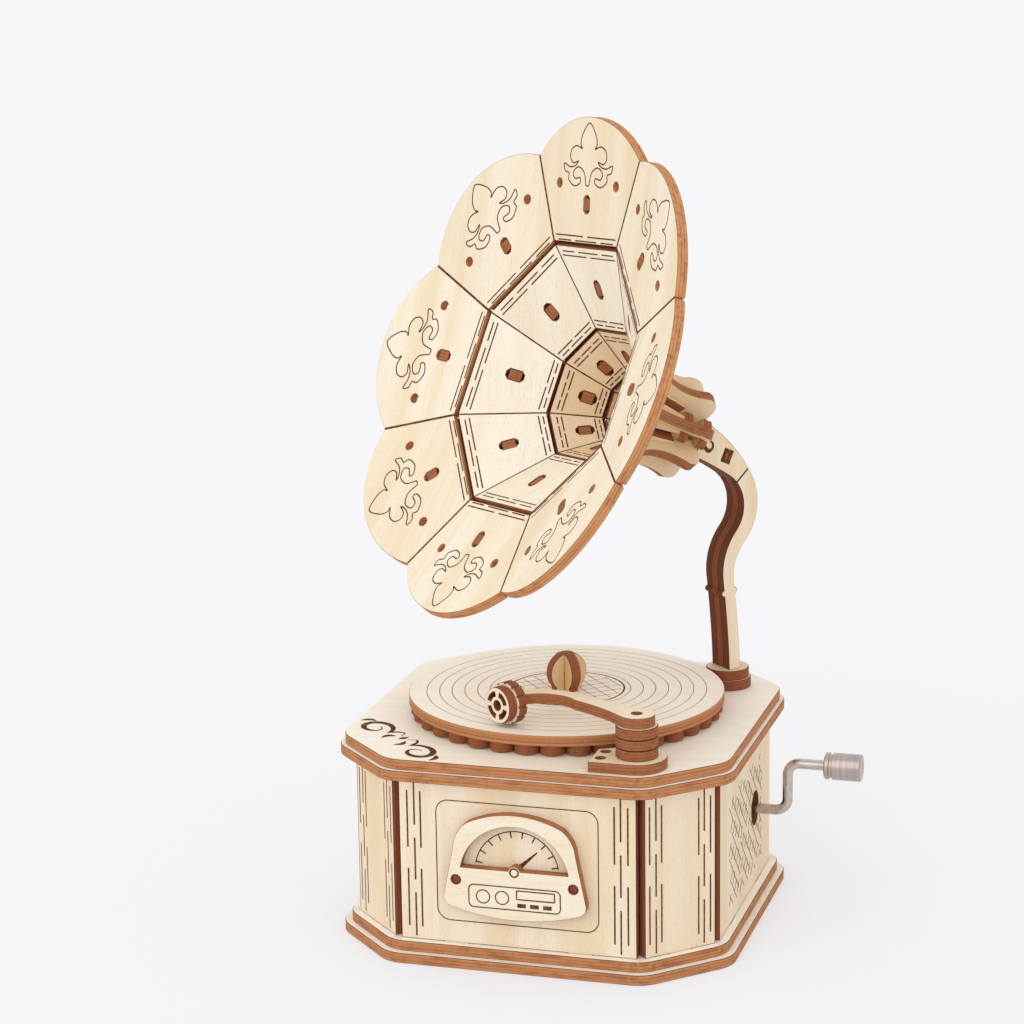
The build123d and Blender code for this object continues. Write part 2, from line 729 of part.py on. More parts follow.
post_end = horn_reach + rosette_planes[1] - ply - fit
neck = axis_point(post_end)


def post_side_arcs(points):
    """One side of the post, from the foot to past the neck."""
    height = neck[1] - post_base
    return arcs([(ahead + share * neck[0], post_base + share * height) for ahead, share in points])


def post_profile():
    """S-shaped side of the post, cut square to the horn's axis behind the rear rosette."""
    front = post_side_arcs(post_front)
    back = post_side_arcs(post_back)
    shape = make_face([*front, Line(front[-1] @ 1, back[-1] @ 1), *back, Line(back[0] @ 0, front[0] @ 0)])
    far = horn_reach
    shape -= outline(axis_point(post_end, -far), axis_point(post_end + far, -far),
                     axis_point(post_end + far, far), axis_point(post_end, far))
    for edge in (front, back):
        spots = [arc @ (step / 20) for arc in edge for step in range(21)]
        spot = min(spots, key=lambda p: abs(p.Y - post_nub_z))
        shape += Pos(spot.X, spot.Y) * small_round(post_nub_radius)
    return shape


def cheek_region(grow):
    """Region of the upper end that the cheeks cover, down to the tip at the post's shoulder."""
    tip = (neck[0] + cheek_tip[0] - grow, neck[1] + cheek_tip[1] - grow)
    low, high = [(tip[0] + x, tip[1] + z) for x, z in cheek_arch]
    far = horn_reach
    corners = [high, (high[0] - far, high[1] + far), (high[0] + far, high[1] + far), (high[0] + far, low[1] - ply), low]
    return make_face([ThreePointArc(low, tip, high), *Polyline(*corners).edges()])


def layer(shape, index):
    """One of the post's three layers; 0 is the middle one."""
    plane = post_plane.offset((index - 0.5) * ply)
    return extrude(plane * shape, ply)


def key_hole(grow):
    """Outline of the key through the cheeks and the core."""
    return Pos(neck[0] + cheek_key[0], neck[1] + cheek_key[1]) * Rot(0, 0, horn_tilt) * Rectangle(cheek_key_width + 2 * grow, cheek_key_length + 2 * grow)


def post_mortise():
    """Slot in the foot and the deck for the core's tenon."""
    shape = Pos(post_middle, 0) * Rectangle(post_tenon_width + 2 * fit, 4 * deck_z)
    return extrude(post_plane * shape, ply / 2 + fit, both=True)


def make_post():
    profile = post_profile()
    mortise = post_mortise()
    tenon = Pos(post_middle, (post_base + wall_top + ply) / 2) * Rectangle(post_tenon_width, post_base - wall_top - ply)
    half = post_tenon_width / 2
    root, tip = post_end - ply, horn_reach + rosette_planes[0]
    spigot = outline(axis_point(root, -half), axis_point(tip, -half), axis_point(tip, half), axis_point(root, half))
    core = profile + tenon + spigot - key_hole(fit)
    side = profile - cheek_region(cheek_seam)
    cheek = (profile & cheek_region(0)) - key_hole(fit)
    write("post_core", layer(core, 0))
    write("post_near_side", layer(side, 1))
    write("post_far_side", layer(side, -1))
    write("near_cheek", layer(cheek, 1))
    write("far_cheek", layer(cheek, -1))
    key = extrude(post_plane * key_hole(0), 1.5 * ply - tab_recess, both=True)
    write("cheek_key", key)
    write("post_lower_foot", disc(post_foot_lower_radius, deck_z, ply, post_foot) - mortise)
    write("post_upper_foot", disc(post_foot_upper_radius, deck_z + ply, ply, post_foot) - mortise)


# Horn. In its own frame +Z runs along the axis towards the mouth and +X points up.

tilt = radians(horn_tilt)
horn_axis = (post_out[0] * cos(tilt), post_out[1] * cos(tilt), sin(tilt))
horn_up = (-post_out[0] * sin(tilt), -post_out[1] * sin(tilt), cos(tilt))
horn_origin = (post_foot[0] + horn_reach * horn_axis[0], post_foot[1] + horn_reach * horn_axis[1],
               horn_axis_height + horn_reach * horn_axis[2])
horn_plane = Plane(horn_origin, x_dir=horn_up, z_dir=horn_axis)
half_side = radians(180 / horn_sides)


def panel_frame(index):
    """Middle line of one panel: inner end, direction and rearward normal as (radius, axial), and length."""
    (outer_radius, outer_z), (inner_radius, inner_z) = horn_rings[index], horn_rings[index + 1]
    start = (inner_radius * cos(half_side), inner_z)
    rise = outer_radius * cos(half_side) - start[0]
    run = outer_z - inner_z
    length = hypot(rise, run)
    along = (rise / length, run / length)
    return start, along, (along[1], -along[0]), length


def bend_gap(index):
    """What square-cut plates leave open on the front face at ring index, where the flare bends."""
    if index == 0 or index == len(horn_rings) - 1:
        return 0
    outer, inner = panel_frame(index - 1)[1], panel_frame(index)[1]
    bend = atan2(outer[0], outer[1]) - atan2(inner[0], inner[1])
    return ply * tan(bend / 2) + fit


def panel(index):
    """One flat panel of the flare, front face towards the mouth, with a slot for the rib's tab."""
    start, along, rear, length = panel_frame(index)
    inner_radius, outer_radius = horn_rings[index + 1][0], horn_rings[index][0]

    def half_width_at(v):
        radius = inner_radius + (outer_radius - inner_radius) * v / length
        return radius * sin(half_side) - fit

    low, high = bend_gap(index + 1), length - bend_gap(index)
    wide, narrow = half_width_at(high), half_width_at(low)
    if index == 0:
        crown = ThreePointArc((wide, high), (0, high + petal_crown), (-wide, high))
        sides = [Line((-wide, high), (-narrow, low)), Line((-narrow, low), (narrow, low)), Line((narrow, low), (wide, high))]
        shape = make_face([crown, *sides])
        for side in (-1, 1):
            shape -= Pos(side * petal_hole[0], petal_hole[1]) * small_round(petal_hole_radius)
    else:
        shape = outline((-wide, high), (-narrow, low), (narrow, low), (wide, high))
    if index < len(panel_slots):
        slot_low, slot_high = panel_slots[index]
        slot = Rectangle(ply + 2 * slot_gap, slot_high - slot_low)
        slot = chamfer(slot.vertices(), slot_corner)
        shape -= Pos(0, (slot_low + slot_high) / 2) * slot
    plane = Plane((start[0], 0, start[1]), x_dir=(0, 1, 0), z_dir=(rear[0], 0, rear[1]))
    return extrude(plane * shape, ply)


def rear_corner(index):
    """Where the rear faces of the panels on both sides of ring index meet, with the fit added."""
    (p, a, n, _), (q, b, m, _) = panel_frame(index - 1), panel_frame(index)
    back = ply + fit
    px, pz = p[0] + back * n[0], p[1] + back * n[1]
    qx, qz = q[0] + back * m[0], q[1] + back * m[1]
    cross = a[0] * b[1] - a[1] * b[0]
    step = ((qx - px) * b[1] - (qz - pz) * b[0]) / cross
    return (px + step * a[0], pz + step * a[1])


def panel_point(index, v, depth):
    """Point (radius, axial) on a panel's middle line at v, a depth behind its front face."""
    start, along, rear, _ = panel_frame(index)
    return (start[0] + v * along[0] + depth * rear[0], start[1] + v * along[1] + depth * rear[1])


def rib():
    """Radial rib behind one column of panels, with tabs through them and laps for the rosettes."""
    back = ply + fit
    edge = [panel_point(0, rib_tip_v, back)]
    for index, (slot_low, slot_high) in enumerate(panel_slots):
        end_gap = slot_corner - slot_gap + slot_end_gap
        high, low = slot_high - end_gap, slot_low + end_gap
        edge += [panel_point(index, high, back), panel_point(index, high, tab_recess),
                 panel_point(index, low, tab_recess), panel_point(index, low, back), rear_corner(index + 1)]
    throat_end = panel_point(len(panel_slots), 0, back)
    throat_z = horn_rings[-1][1] - fit - rib_end_gap
    front_plane, rear_plane = rosette_planes
    lap = rib_lap_radius + fit
    tail = rib_bump[0]
    edge += [throat_end, (throat_end[0], throat_z), (rib_core_radius, throat_z),
             (rib_core_radius, front_plane + fit), (lap, front_plane + fit), (lap, front_plane - ply - fit),
             (rib_core_radius, front_plane - ply - fit), (rib_core_radius, rear_plane + fit), (lap, rear_plane + fit),
             (lap, tail[1]), tail]
    spine = arcs([*rib_bump, *rib_spine])
    tip = panel_point(0, rib_tip_v, back + rib_tip_height)
    lines = [Line(a, b) for a, b in zip(edge, edge[1:])]
    shape = make_face([*lines, *spine, Line(spine[-1] @ 1, tip), Line(tip, edge[0])])
    plane = Plane((0, 0, 0), x_dir=(1, 0, 0), z_dir=(0, -1, 0))
    return extrude(plane * shape, ply / 2, both=True)


def rosette(front):
    """Lobed disc that locks the eight ribs together round the post's spigot."""
    step = 360 / horn_sides
    shape = Circle(rosette_waist)
    shape += PolarLocations(rosette_lobe_centre, horn_sides, start_angle=step / 2) * small_round(rosette_lobe_radius)
    reach = rosette_lobe_centre + rosette_lobe_radius - rib_lap_radius + slot_overrun
    shape -= PolarLocations(rib_lap_radius + reach / 2, horn_sides) * Rectangle(reach, ply + 2 * fit)
    shape = Rot(0, 0, horn_roll) * shape
    shape -= Rectangle(post_tenon_width + 2 * fit, ply + 2 * fit)
    return horn_plane.location * extrude(Plane((0, 0, front)) * shape, -ply)


def around(piece):
    """The piece in each column of the horn, the top one first, then towards the right."""
    return [horn_plane.location * Rot(0, 0, horn_roll - 360 * column / horn_sides) * piece for column in range(horn_sides)]


def make_horn():
    petal_names = ["top", "upper_right", "right", "lower_right", "bottom", "lower_left", "left", "upper_left"]
    for name, petal in zip(petal_names, around(panel(0))):
        write(f"{name}_petal", petal)
    write("middle_panels", *around(panel(1)))
    write("inner_panels", *around(panel(2)))
    write("throat_panels", *around(panel(3)))
    write("horn_ribs", *around(rib()))
    write("front_rosette", rosette(rosette_planes[0]))
    write("rear_rosette", rosette(rosette_planes[1]))


os.makedirs("parts", exist_ok=True)
make_case()
make_movement()
make_turntable()
make_tonearm()
make_post()
make_horn()
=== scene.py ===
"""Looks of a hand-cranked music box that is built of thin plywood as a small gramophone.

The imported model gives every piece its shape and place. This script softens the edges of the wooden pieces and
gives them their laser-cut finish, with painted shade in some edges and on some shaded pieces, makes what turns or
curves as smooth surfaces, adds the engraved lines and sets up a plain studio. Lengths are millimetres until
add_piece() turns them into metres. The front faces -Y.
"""

import logging
import zlib
from dataclasses import dataclass, field
from enum import Enum
from math import cos, hypot, pi, radians, sin, sqrt, tan
from typing import Iterable, Sequence

import bmesh
import bpy
import numpy as np
from mathutils import Matrix, Vector


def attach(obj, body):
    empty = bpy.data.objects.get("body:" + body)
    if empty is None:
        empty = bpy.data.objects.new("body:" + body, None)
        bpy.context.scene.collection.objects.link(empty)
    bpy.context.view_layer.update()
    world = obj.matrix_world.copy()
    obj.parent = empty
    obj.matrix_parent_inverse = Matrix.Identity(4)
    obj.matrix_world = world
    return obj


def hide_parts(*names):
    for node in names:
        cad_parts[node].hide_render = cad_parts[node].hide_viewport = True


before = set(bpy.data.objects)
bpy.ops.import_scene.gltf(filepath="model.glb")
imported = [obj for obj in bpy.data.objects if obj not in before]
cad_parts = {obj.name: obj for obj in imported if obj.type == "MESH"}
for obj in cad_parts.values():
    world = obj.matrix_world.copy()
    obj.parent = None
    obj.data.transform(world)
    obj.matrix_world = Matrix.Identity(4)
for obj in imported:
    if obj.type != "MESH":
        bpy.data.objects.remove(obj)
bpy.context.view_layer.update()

log = logging.getLogger("music_box")
MM = 0.001  # metres in a millimetre
WELD = 1e-6  # metres within which points are merged
PLY = 2.5  # thickness of a plate
GRAIN_UV = "Ply"  # name of the wood's own map
ARC_STEP = 7.5  # degrees between the points of an engraved arc
PROUD = 0.025  # height of an engraved line's top over its surface
SUNK = 0.05  # depth of its bottom under the surface
FACE_COSINE = 0.985  # over this a face lies along its plate
BEVEL_COSINE = 0.4  # over this it is a bevel, and under it a cut edge
PLY_MIDDLE = 0.45  # place between the glue lines, for faces that show a cut
TONE_SPREAD = 0.22  # how much the warmth differs from plate to plate
FLAT_ANGLE = 0.5  # degrees between faces that are merged
SHARP_ANGLE = 40.0  # degrees over which an edge is bevelled
GRAIN_LEAST = 0.2  # least share of the grain along a plate; a plate with less takes X for its grain
END_ROUNDING = 0.18  # rounding of a bar's end, as a share of its radius

Pair = tuple[float, float]
Triple = tuple[float, float, float]
Colour = Triple
Socket = bpy.types.NodeSocket


class Body(Enum):
    """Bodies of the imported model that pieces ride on."""

    CASE = "case"
    CRANK = "crank"
    KNOB = "crank_knob"
    TURNTABLE = "turntable"
    TONEARM = "tonearm"


class Slot(Enum):
    """Material slots of the record, by name; no piece here takes them."""

    PLYWOOD = "plywood"
    DOWEL = "dowel"
    WIRE = "bent_wire"
    STEEL = "turned_steel"


def srgb(red: int, green: int, blue: int) -> Colour:
    """Linear colour of a screen colour.

    Each part c of 255 becomes ((c + 0.055) / 1.055) to the power 2.4, the usual screen curve.

    Args:
        red: Red part, 0 to 255.
        green: Green part, 0 to 255.
        blue: Blue part, 0 to 255.

    Returns:
        The three linear parts.
    """
    shares = (np.array([red, green, blue]) / 255 + 0.055) / 1.055
    return tuple(float(share) for share in shares ** 2.4)


# Materials


class NodeBench:
    """Node tree that is built up step by step."""

    def __init__(self, tree: bpy.types.NodeTree) -> None:
        """Start with an empty tree."""
        self.tree = tree
        self.tree.nodes.clear()

    def add(self, kind: str, **inputs: object) -> bpy.types.Node:
        """Add a node and fill its inputs.

        Args:
            kind: Kind of shader node.
            inputs: Values of its inputs by name, with _ for a space.

        Returns:
            The node.
        """
        node = self.tree.nodes.new(f"ShaderNode{kind}")
        for name, value in inputs.items():
            self.feed(node.inputs[name.replace("_", " ")], value)
        return node

    def feed(self, socket: Socket, value: object) -> None:
        """Link a socket, or set its constant.

        Args:
            socket: Input to fill.
            value: Output of another node, a colour or a number.
        """
        if isinstance(value, Socket):
            self.tree.links.new(value, socket)
        elif isinstance(value, tuple) and len(value) == 3 and socket.type == "RGBA":
            socket.default_value = (*value, 1.0)
        else:
            socket.default_value = value

    def coordinates(self) -> Socket:
        """Object coordinates, in metres."""
        return self.add("TexCoord").outputs["Object"]

    def grain(self) -> Socket:
        """The wood's own map: along and across the grain, or along a cut edge and through the plies."""
        node = self.add("UVMap")
        node.uv_map = GRAIN_UV
        return node.outputs[0]

    def attribute(self, name: str) -> Socket:
        """A number stored on the mesh."""
        node = self.add("Attribute")
        node.attribute_name = name
        return node.outputs["Fac"]

    def stretch(self, vector: Socket, scale: Triple) -> Socket:
        """Scale a coordinate along its three axes."""
        return self.add("Mapping", Vector=vector, Scale=scale).outputs[0]

    def noise(self, vector: Socket, detail: float = 2.0, rough: float = 0.5) -> Socket:
        """Cloudy noise with features one unit long."""
        return self.add("TexNoise", Vector=vector, Scale=1.0, Detail=detail, Roughness=rough).outputs[0]

    def math(self, operation: str, *values: object) -> Socket:
        """Result of a Math node.

        Args:
            operation: What the node does.
            values: Its inputs.

        Returns:
            The node's output.
        """
        node = self.add("Math")
        node.operation = operation
        for socket, value in zip(node.inputs, values):
            self.feed(socket, value)
        return node.outputs[0]

    def between(self, value: Socket, low: float, high: float, top: float = 1.0) -> Socket:
        """Smooth step of a value.

        Args:
            value: The value.
            low: Value at which the step starts; it may be the larger one.
            high: Value at which it ends.
            top: What the step rises to from 0.

        Returns:
            The node's output.
        """
        node = self.add("MapRange", Value=value, From_Min=low, From_Max=high, To_Max=top)
        node.interpolation_type = "SMOOTHSTEP"
        return node.outputs[0]

    def mix(self, factor: object, first: object, second: object) -> Socket:
        """Colour between two colours.

        Args:
            factor: 0 for the first colour and 1 for the second.
            first: First colour.
            second: Second colour.

        Returns:
            The node's output.
        """
        node = self.add("Mix")
        node.data_type = "RGBA"
        for socket, value in zip((node.inputs[0], node.inputs[6], node.inputs[7]), (factor, first, second)):
            self.feed(socket, value)
        return node.outputs[2]

    def split(self, vector: Socket) -> tuple[Socket, ...]:
        """The three parts of a vector."""
        return tuple(self.add("SeparateXYZ", Vector=vector).outputs)

    def seen(self) -> Socket:
        """1 for a ray of the camera, of a gloss or of a transmission, and otherwise 0."""
        rays = self.add("LightPath").outputs
        seen = self.math("MAXIMUM", rays["Is Camera Ray"], rays["Is Glossy Ray"])
        return self.math("MAXIMUM", seen, rays["Is Transmission Ray"])


class SurfaceBench(NodeBench):
    """Node material with a Principled shader."""

    def __init__(self, name: str) -> None:
        """Start the material.

        Args:
            name: Name of the material.
        """
        self.material = bpy.data.materials.new(name)
        self.material.use_nodes = True
        super().__init__(self.material.node_tree)
        self.shader = self.add("BsdfPrincipled")
        self.feed(self.add("OutputMaterial").inputs[0], self.shader.outputs[0])

    def bump(self, height: Socket, distance: float, strength: float = 1.0) -> None:
        """Bump the shader's surface by a height in metres."""
        node = self.add("Bump", Height=height, Distance=distance, Strength=strength)
        self.feed(self.shader.inputs["Normal"], node.outputs[0])

    def surface(self, **values: object) -> bpy.types.Material:
        """Set the shader's sockets and give the material.

        Args:
            values: Values of the sockets by name, with _ for a space.

        Returns:
            The material.
        """
        for name, value in values.items():
            self.feed(self.shader.inputs[name.replace("_", " ")], value)
        return self.material


@dataclass(frozen=True)
class PlywoodFinish:
    """Pale basswood plywood, cut by a laser: fine grain on the faces, browned layers on the cut edges.

    The attribute burn is 0 on a face and says how brown a cut is: scorch, and painted shade at the walls' grooves and
    the plates' rims. tone warms a whole piece; on the knob discs, ribs, rosettes and deep horn panels it is painted
    shade. Noise is stretched along the grain for fibres, bands and flecks. On an edge, thin lines run through the
    plies and the glue lines are dark.
    """

    pale: Colour = srgb(244, 233, 213)
    warm: Colour = srgb(237, 219, 187)
    # Warm end of the tone; on the knob discs, ribs, rosettes and deep horn panels it paints shade.
    honey: Colour = srgb(222, 180, 124)
    bleached: Colour = srgb(250, 243, 231)
    fibre: Colour = srgb(212, 184, 144)
    golden_cut: Colour = srgb(220, 158, 104)
    brown_cut: Colour = srgb(132, 64, 34)
    # Darkest cut colour: scorch, glue lines, and painted shade at the plates' rims.
    char_and_shade: Colour = srgb(66, 30, 15)
    fibre_scale: Triple = (90.0, 2600.0, 1.0)
    band_scale: Triple = (9.0, 130.0, 1.0)
    fleck_scale: Triple = (650.0, 4200.0, 1.0)
    line_scale: Triple = (1500.0, 1.2, 1.0)
    blotch_scale: Triple = (160.0, 2.0, 1.0)
    band_step: Pair = (0.35, 0.68)
    fibre_step: Triple = (0.5, 0.8, 0.4)
    fleck_step: Triple = (0.6, 0.75, 0.45)
    blotch_step: Triple = (0.42, 0.7, 0.45)
    line_step: Triple = (0.5, 0.8, 0.22)
    glue_step: Triple = (0.14, 0.02, 0.5)
    char_and_shade_step: Triple = (0.9, 1.0, 0.8)
    plies: float = 3.0
    relief: float = 0.00004
    relief_strength: float = 0.35
    face_roughness: float = 0.55
    cut_roughness: float = 0.25

    def face(self, bench: NodeBench, grain: Socket, fibres: Socket) -> Socket:
        """Colour of a face: soft bands from pale to warm, the plate's tone, on some pieces painted shade, then fibres
        and flecks.

        Args:
            bench: The material in the making.
            grain: The wood's own map.
            fibres: Noise of the fibres.

        Returns:
            The colour.
        """
        bands = bench.noise(bench.stretch(grain, self.band_scale), 2.0)
        flecks = bench.noise(bench.stretch(grain, self.fleck_scale), 1.0)
        tone = bench.attribute("tone")
        colour = bench.mix(bench.between(bands, *self.band_step), self.pale, self.warm)
        colour = bench.mix(tone, colour, self.honey)
        colour = bench.mix(bench.math("MULTIPLY", tone, -1.0), colour, self.bleached)
        colour = bench.mix(bench.between(fibres, *self.fibre_step), colour, self.fibre)
        return bench.mix(bench.between(flecks, *self.fleck_step), colour, self.fibre)

    def cut(self, bench: NodeBench, grain: Socket, lines: Socket, burn: Socket) -> Socket:
        """Colour of a cut: golden to brown, with blotches, lines through the plies, glue lines and a near-black on the
        brownest cuts, which at the plates' rims is painted shade.

        The distance to the nearest glue line is | d - round(d) |, where d is the depth counted in plies.

        Args:
            bench: The material in the making.
            grain: The wood's own map.
            lines: Noise of the lines.
            burn: How brown the cut is, with painted shade at the walls' grooves and the plates' rims.

        Returns:
            The colour.
        """
        blotches = bench.noise(bench.stretch(grain, self.blotch_scale), 2.0)
        _, depth, _ = bench.split(grain)
        layers = bench.math("MULTIPLY", depth, self.plies)
        from_glue = bench.math("ABSOLUTE", bench.math("SUBTRACT", layers, bench.math("ROUND", layers)))
        colour = bench.mix(burn, self.golden_cut, self.brown_cut)
        colour = bench.mix(bench.between(blotches, *self.blotch_step), colour, self.brown_cut)
        colour = bench.mix(bench.between(lines, *self.line_step), colour, self.char_and_shade)
        colour = bench.mix(bench.between(from_glue, *self.glue_step), colour, self.char_and_shade)
        return bench.mix(bench.between(burn, *self.char_and_shade_step), colour, self.char_and_shade)

    def material(self) -> bpy.types.Material:
        """Make the finished material.

        Returns:
            The material.
        """
        bench = SurfaceBench("plywood")
        grain, burn = bench.grain(), bench.attribute("burn")
        fibres = bench.noise(bench.stretch(grain, self.fibre_scale), 3.0, 0.6)
        lines = bench.noise(bench.stretch(grain, self.line_scale), 2.0, 0.6)
        is_cut = bench.math("GREATER_THAN", burn, 0.01)
        colour = bench.mix(is_cut, self.face(bench, grain, fibres), self.cut(bench, grain, lines, burn))
        bench.bump(bench.math("ADD", fibres, bench.math("MULTIPLY", is_cut, lines)), self.relief,
                   self.relief_strength)
        rough = bench.math("ADD", self.face_roughness, bench.math("MULTIPLY", is_cut, self.cut_roughness))
        return bench.surface(Base_Color=colour, Roughness=rough, Specular_IOR_Level=0.3)


@dataclass(frozen=True)
class ScorchFinish:
    """Line burnt into the wood: brown, patchy and matt."""

    name: str
    dark: Colour
    light: Colour
    patch: float = 900.0
    patch_step: Pair = (0.35, 0.7)
    relief: float = 0.00003

    def material(self) -> bpy.types.Material:
        """Make the finished material.

        Returns:
            The material.
        """
        bench = SurfaceBench(self.name)
        patches = bench.noise(bench.stretch(bench.coordinates(), (self.patch,) * 3), 2.0)
        colour = bench.mix(bench.between(patches, *self.patch_step), self.dark, self.light)
        bench.bump(patches, self.relief, 0.5)
        return bench.surface(Base_Color=colour, Roughness=0.9, Specular_IOR_Level=0.15)


@dataclass(frozen=True)
class MetalFinish:
    """Metal with fine lines round or along the piece and a faint cloudiness."""

    name: str
    colour: Colour
    shade: Colour
    roughness: float
    lines: Triple
    relief: float = 0.0000015
    line_step: Pair = (0.3, 0.75)
    cloud: float = 260.0
    cloud_roughness: float = 0.14

    def material(self) -> bpy.types.Material:
        """Make the finished material.

        Returns:
            The material.
        """
        bench = SurfaceBench(self.name)
        place = bench.coordinates()
        lines = bench.noise(bench.stretch(place, self.lines), 3.0, 0.65)
        clouds = bench.noise(bench.stretch(place, (self.cloud,) * 3), 2.0)
        colour = bench.mix(bench.between(lines, *self.line_step), self.colour, self.shade)
        rough = bench.math("ADD", self.roughness, bench.math("MULTIPLY", clouds, self.cloud_roughness))
        bench.bump(lines, self.relief)
        return bench.surface(Base_Color=colour, Roughness=rough, Metallic=1.0)


def made(finish: PlywoodFinish | ScorchFinish | MetalFinish) -> bpy.types.Material:
    """Field that holds a finish's material, made together with the object that has the field."""
    return field(default_factory=finish.material)


@dataclass
class Finishes:
    """Every material of the object, made once."""

    plywood: bpy.types.Material = made(PlywoodFinish())
    scorch: bpy.types.Material = made(ScorchFinish("scorched_line", srgb(74, 42, 22), srgb(122, 78, 44)))
    score: bpy.types.Material = made(ScorchFinish("light_line", srgb(150, 110, 74), srgb(184, 146, 106)))
    wire: bpy.types.Material = made(
        MetalFinish("bent_wire", srgb(206, 197, 193), srgb(182, 171, 166), 0.13, (500.0, 500.0, 500.0)))
    steel: bpy.types.Material = made(
        MetalFinish("turned_steel", srgb(194, 180, 174), srgb(174, 160, 153), 0.2, (4200.0, 60.0, 60.0)))
    brass: bpy.types.Material = made(
        MetalFinish("brass", srgb(214, 176, 96), srgb(176, 134, 60), 0.28, (900.0, 900.0, 900.0)))
    cast: bpy.types.Material = made(
        MetalFinish("cast_plate", srgb(168, 168, 170), srgb(120, 120, 124), 0.48, (1500.0, 1500.0, 1500.0), 0.00003))
    comb: bpy.types.Material = made(
        MetalFinish("comb_steel", srgb(196, 198, 202), srgb(150, 152, 158), 0.24, (240.0, 2400.0, 2400.0)))


# Shapes: arrays of points in millimetres, and the faces between them


@dataclass
class Shape:
    """Points in millimetres and the faces between them."""

    points: np.ndarray
    faces: list[list[int]]


def join(shapes: Iterable[Shape]) -> Shape:
    """One shape that holds several.

    Args:
        shapes: The shapes.

    Returns:
        Their points and faces, one after the other.
    """
    points, faces, start = [], [], 0
    for shape in shapes:
        points.append(shape.points)
        faces += [[index + start for index in face] for face in shape.faces]
        start += len(shape.points)
    return Shape(np.concatenate(points), faces)


def grid_faces(rows: int, columns: int, loop_rows: bool, loop_columns: bool) -> list[list[int]]:
    """Quads of a grid whose point (row, column) has the index row * columns + column.

    Args:
        rows: Points along the first parameter.
        columns: Points along the second parameter.
        loop_rows: Whether the last row meets the first.
        loop_columns: Whether the last column meets the first.

    Returns:
        Four indices for each quad.
    """
    row = np.arange(rows if loop_rows else rows - 1)[:, None]
    column = np.arange(columns if loop_columns else columns - 1)[None, :]
    below, beside = (row + 1) % rows, (column + 1) % columns
    corners = (row * columns + column, below * columns + column, below * columns + beside, row * columns + beside)
    return np.stack(corners, -1).reshape(-1, 4).tolist()


def turned(profile: Sequence[Pair], steps: int = 96, ring: bool = False) -> Shape:
    """Surface of revolution about Z.

    The point at angle a and profile place (r, z) is (r cos a, r sin a, z). Places on the axis close the surface.

    Args:
        profile: Radius and height of each place.
        steps: Points round the axis.
        ring: Whether the profile returns to its start.

    Returns:
        The closed surface.
    """
    radius, height = np.array(profile, float).T
    angle = np.linspace(0, 2 * pi, steps, endpoint=False)[:, None]
    points = np.stack([radius * np.cos(angle), radius * np.sin(angle), height + 0 * angle], -1)
    return Shape(points.reshape(-1, 3), grid_faces(steps, len(radius), True, ring))


def tube(path: np.ndarray, radius: float, steps: int = 28) -> Shape:
    """Round bar along a path in a plane of constant Y, with rounded ends.

    At each path point the circle lies across the mean direction of its two runs: point = path + r cos a * side
    + r sin a * Y, where side is the direction turned a quarter in the plane. Two smaller rings end it at each side.

    Args:
        path: Points of the centre line, n by 3.
        radius: Radius of the bar.
        steps: Points round the bar.

    Returns:
        The closed bar.
    """
    along = np.gradient(path, axis=0)
    along /= np.linalg.norm(along, axis=1)[:, None]
    edge = END_ROUNDING * radius
    path = np.concatenate([path[:1], path[:1], path[:1] + edge * along[:1], path[1:-1],
                           path[-1:] - edge * along[-1:], path[-1:], path[-1:]])
    along = np.concatenate([along[:1], along[:1], along, along[-1:], along[-1:]])
    size = np.full(len(path), radius)
    size[[0, -1]] = 0
    size[[1, -2]] = radius - edge
    side = np.stack([-along[:, 2], 0 * along[:, 1], along[:, 0]], -1)
    angle = np.linspace(0, 2 * pi, steps, endpoint=False)
    ring = np.cos(angle)[None, :, None] * side[:, None, :] + np.sin(angle)[None, :, None] * np.array([0, 1.0, 0])
    points = path[:, None, :] + size[:, None, None] * ring
    return Shape(points.reshape(-1, 3), grid_faces(len(path), steps, False, True))


def smooth_path(points: Sequence[Pair], closed: bool, steps: int = 6) -> np.ndarray:
    """Curve through points: on each span the cubic whose slope at a point is half of its neighbours' distance.

    Args:
        points: Places that the curve passes.
        closed: Whether it returns to the first one.
        steps: Points in each span.

    Returns:
        Points of the curve, n by 2.
    """
    known = np.array(points, float)
    if closed:
        before, after, last = np.roll(known, 1, 0), np.roll(known, -1, 0), np.roll(known, -2, 0)
    else:
        padded = np.concatenate([2 * known[:1] - known[1:2], known, 2 * known[-1:] - known[-2:-1]])
        before, known, after, last = padded[:-3], padded[1:-2], padded[2:-1], padded[3:]
    share = np.linspace(0, 1, steps, endpoint=False)[None, :, None]
    before, start, after, last = (part[:, None, :] for part in (before, known, after, last))
    curve = 0.5 * (2 * start + (after - before) * share + (2 * before - 5 * start + 4 * after - last) * share ** 2
                   + (3 * start - before - 3 * after + last) * share ** 3)
    curve = curve.reshape(-1, 2)
    return curve if closed else np.concatenate([curve, np.array([points[-1]], float)])


def circle(middle: Pair, radius: float, start: float = 0.0, end: float = 360.0) -> np.ndarray:
    """Points of a circle, or of its part between two angles.

    The point at angle a is (x + r cos a, y + r sin a). A whole circle doesn't repeat its start.

    Args:
        middle: Middle of the circle.
        radius: Its radius.
        start: Angle of the first point, in degrees.
        end: Angle of the last point.

    Returns:
        Points, n by 2.
    """
    whole = end - start >= 360
    count = max(8, int(abs(end - start) / ARC_STEP))
    angle = np.radians(np.linspace(start, end, count, endpoint=not whole))
    return np.stack([middle[0] + radius * np.cos(angle), middle[1] + radius * np.sin(angle)], -1)


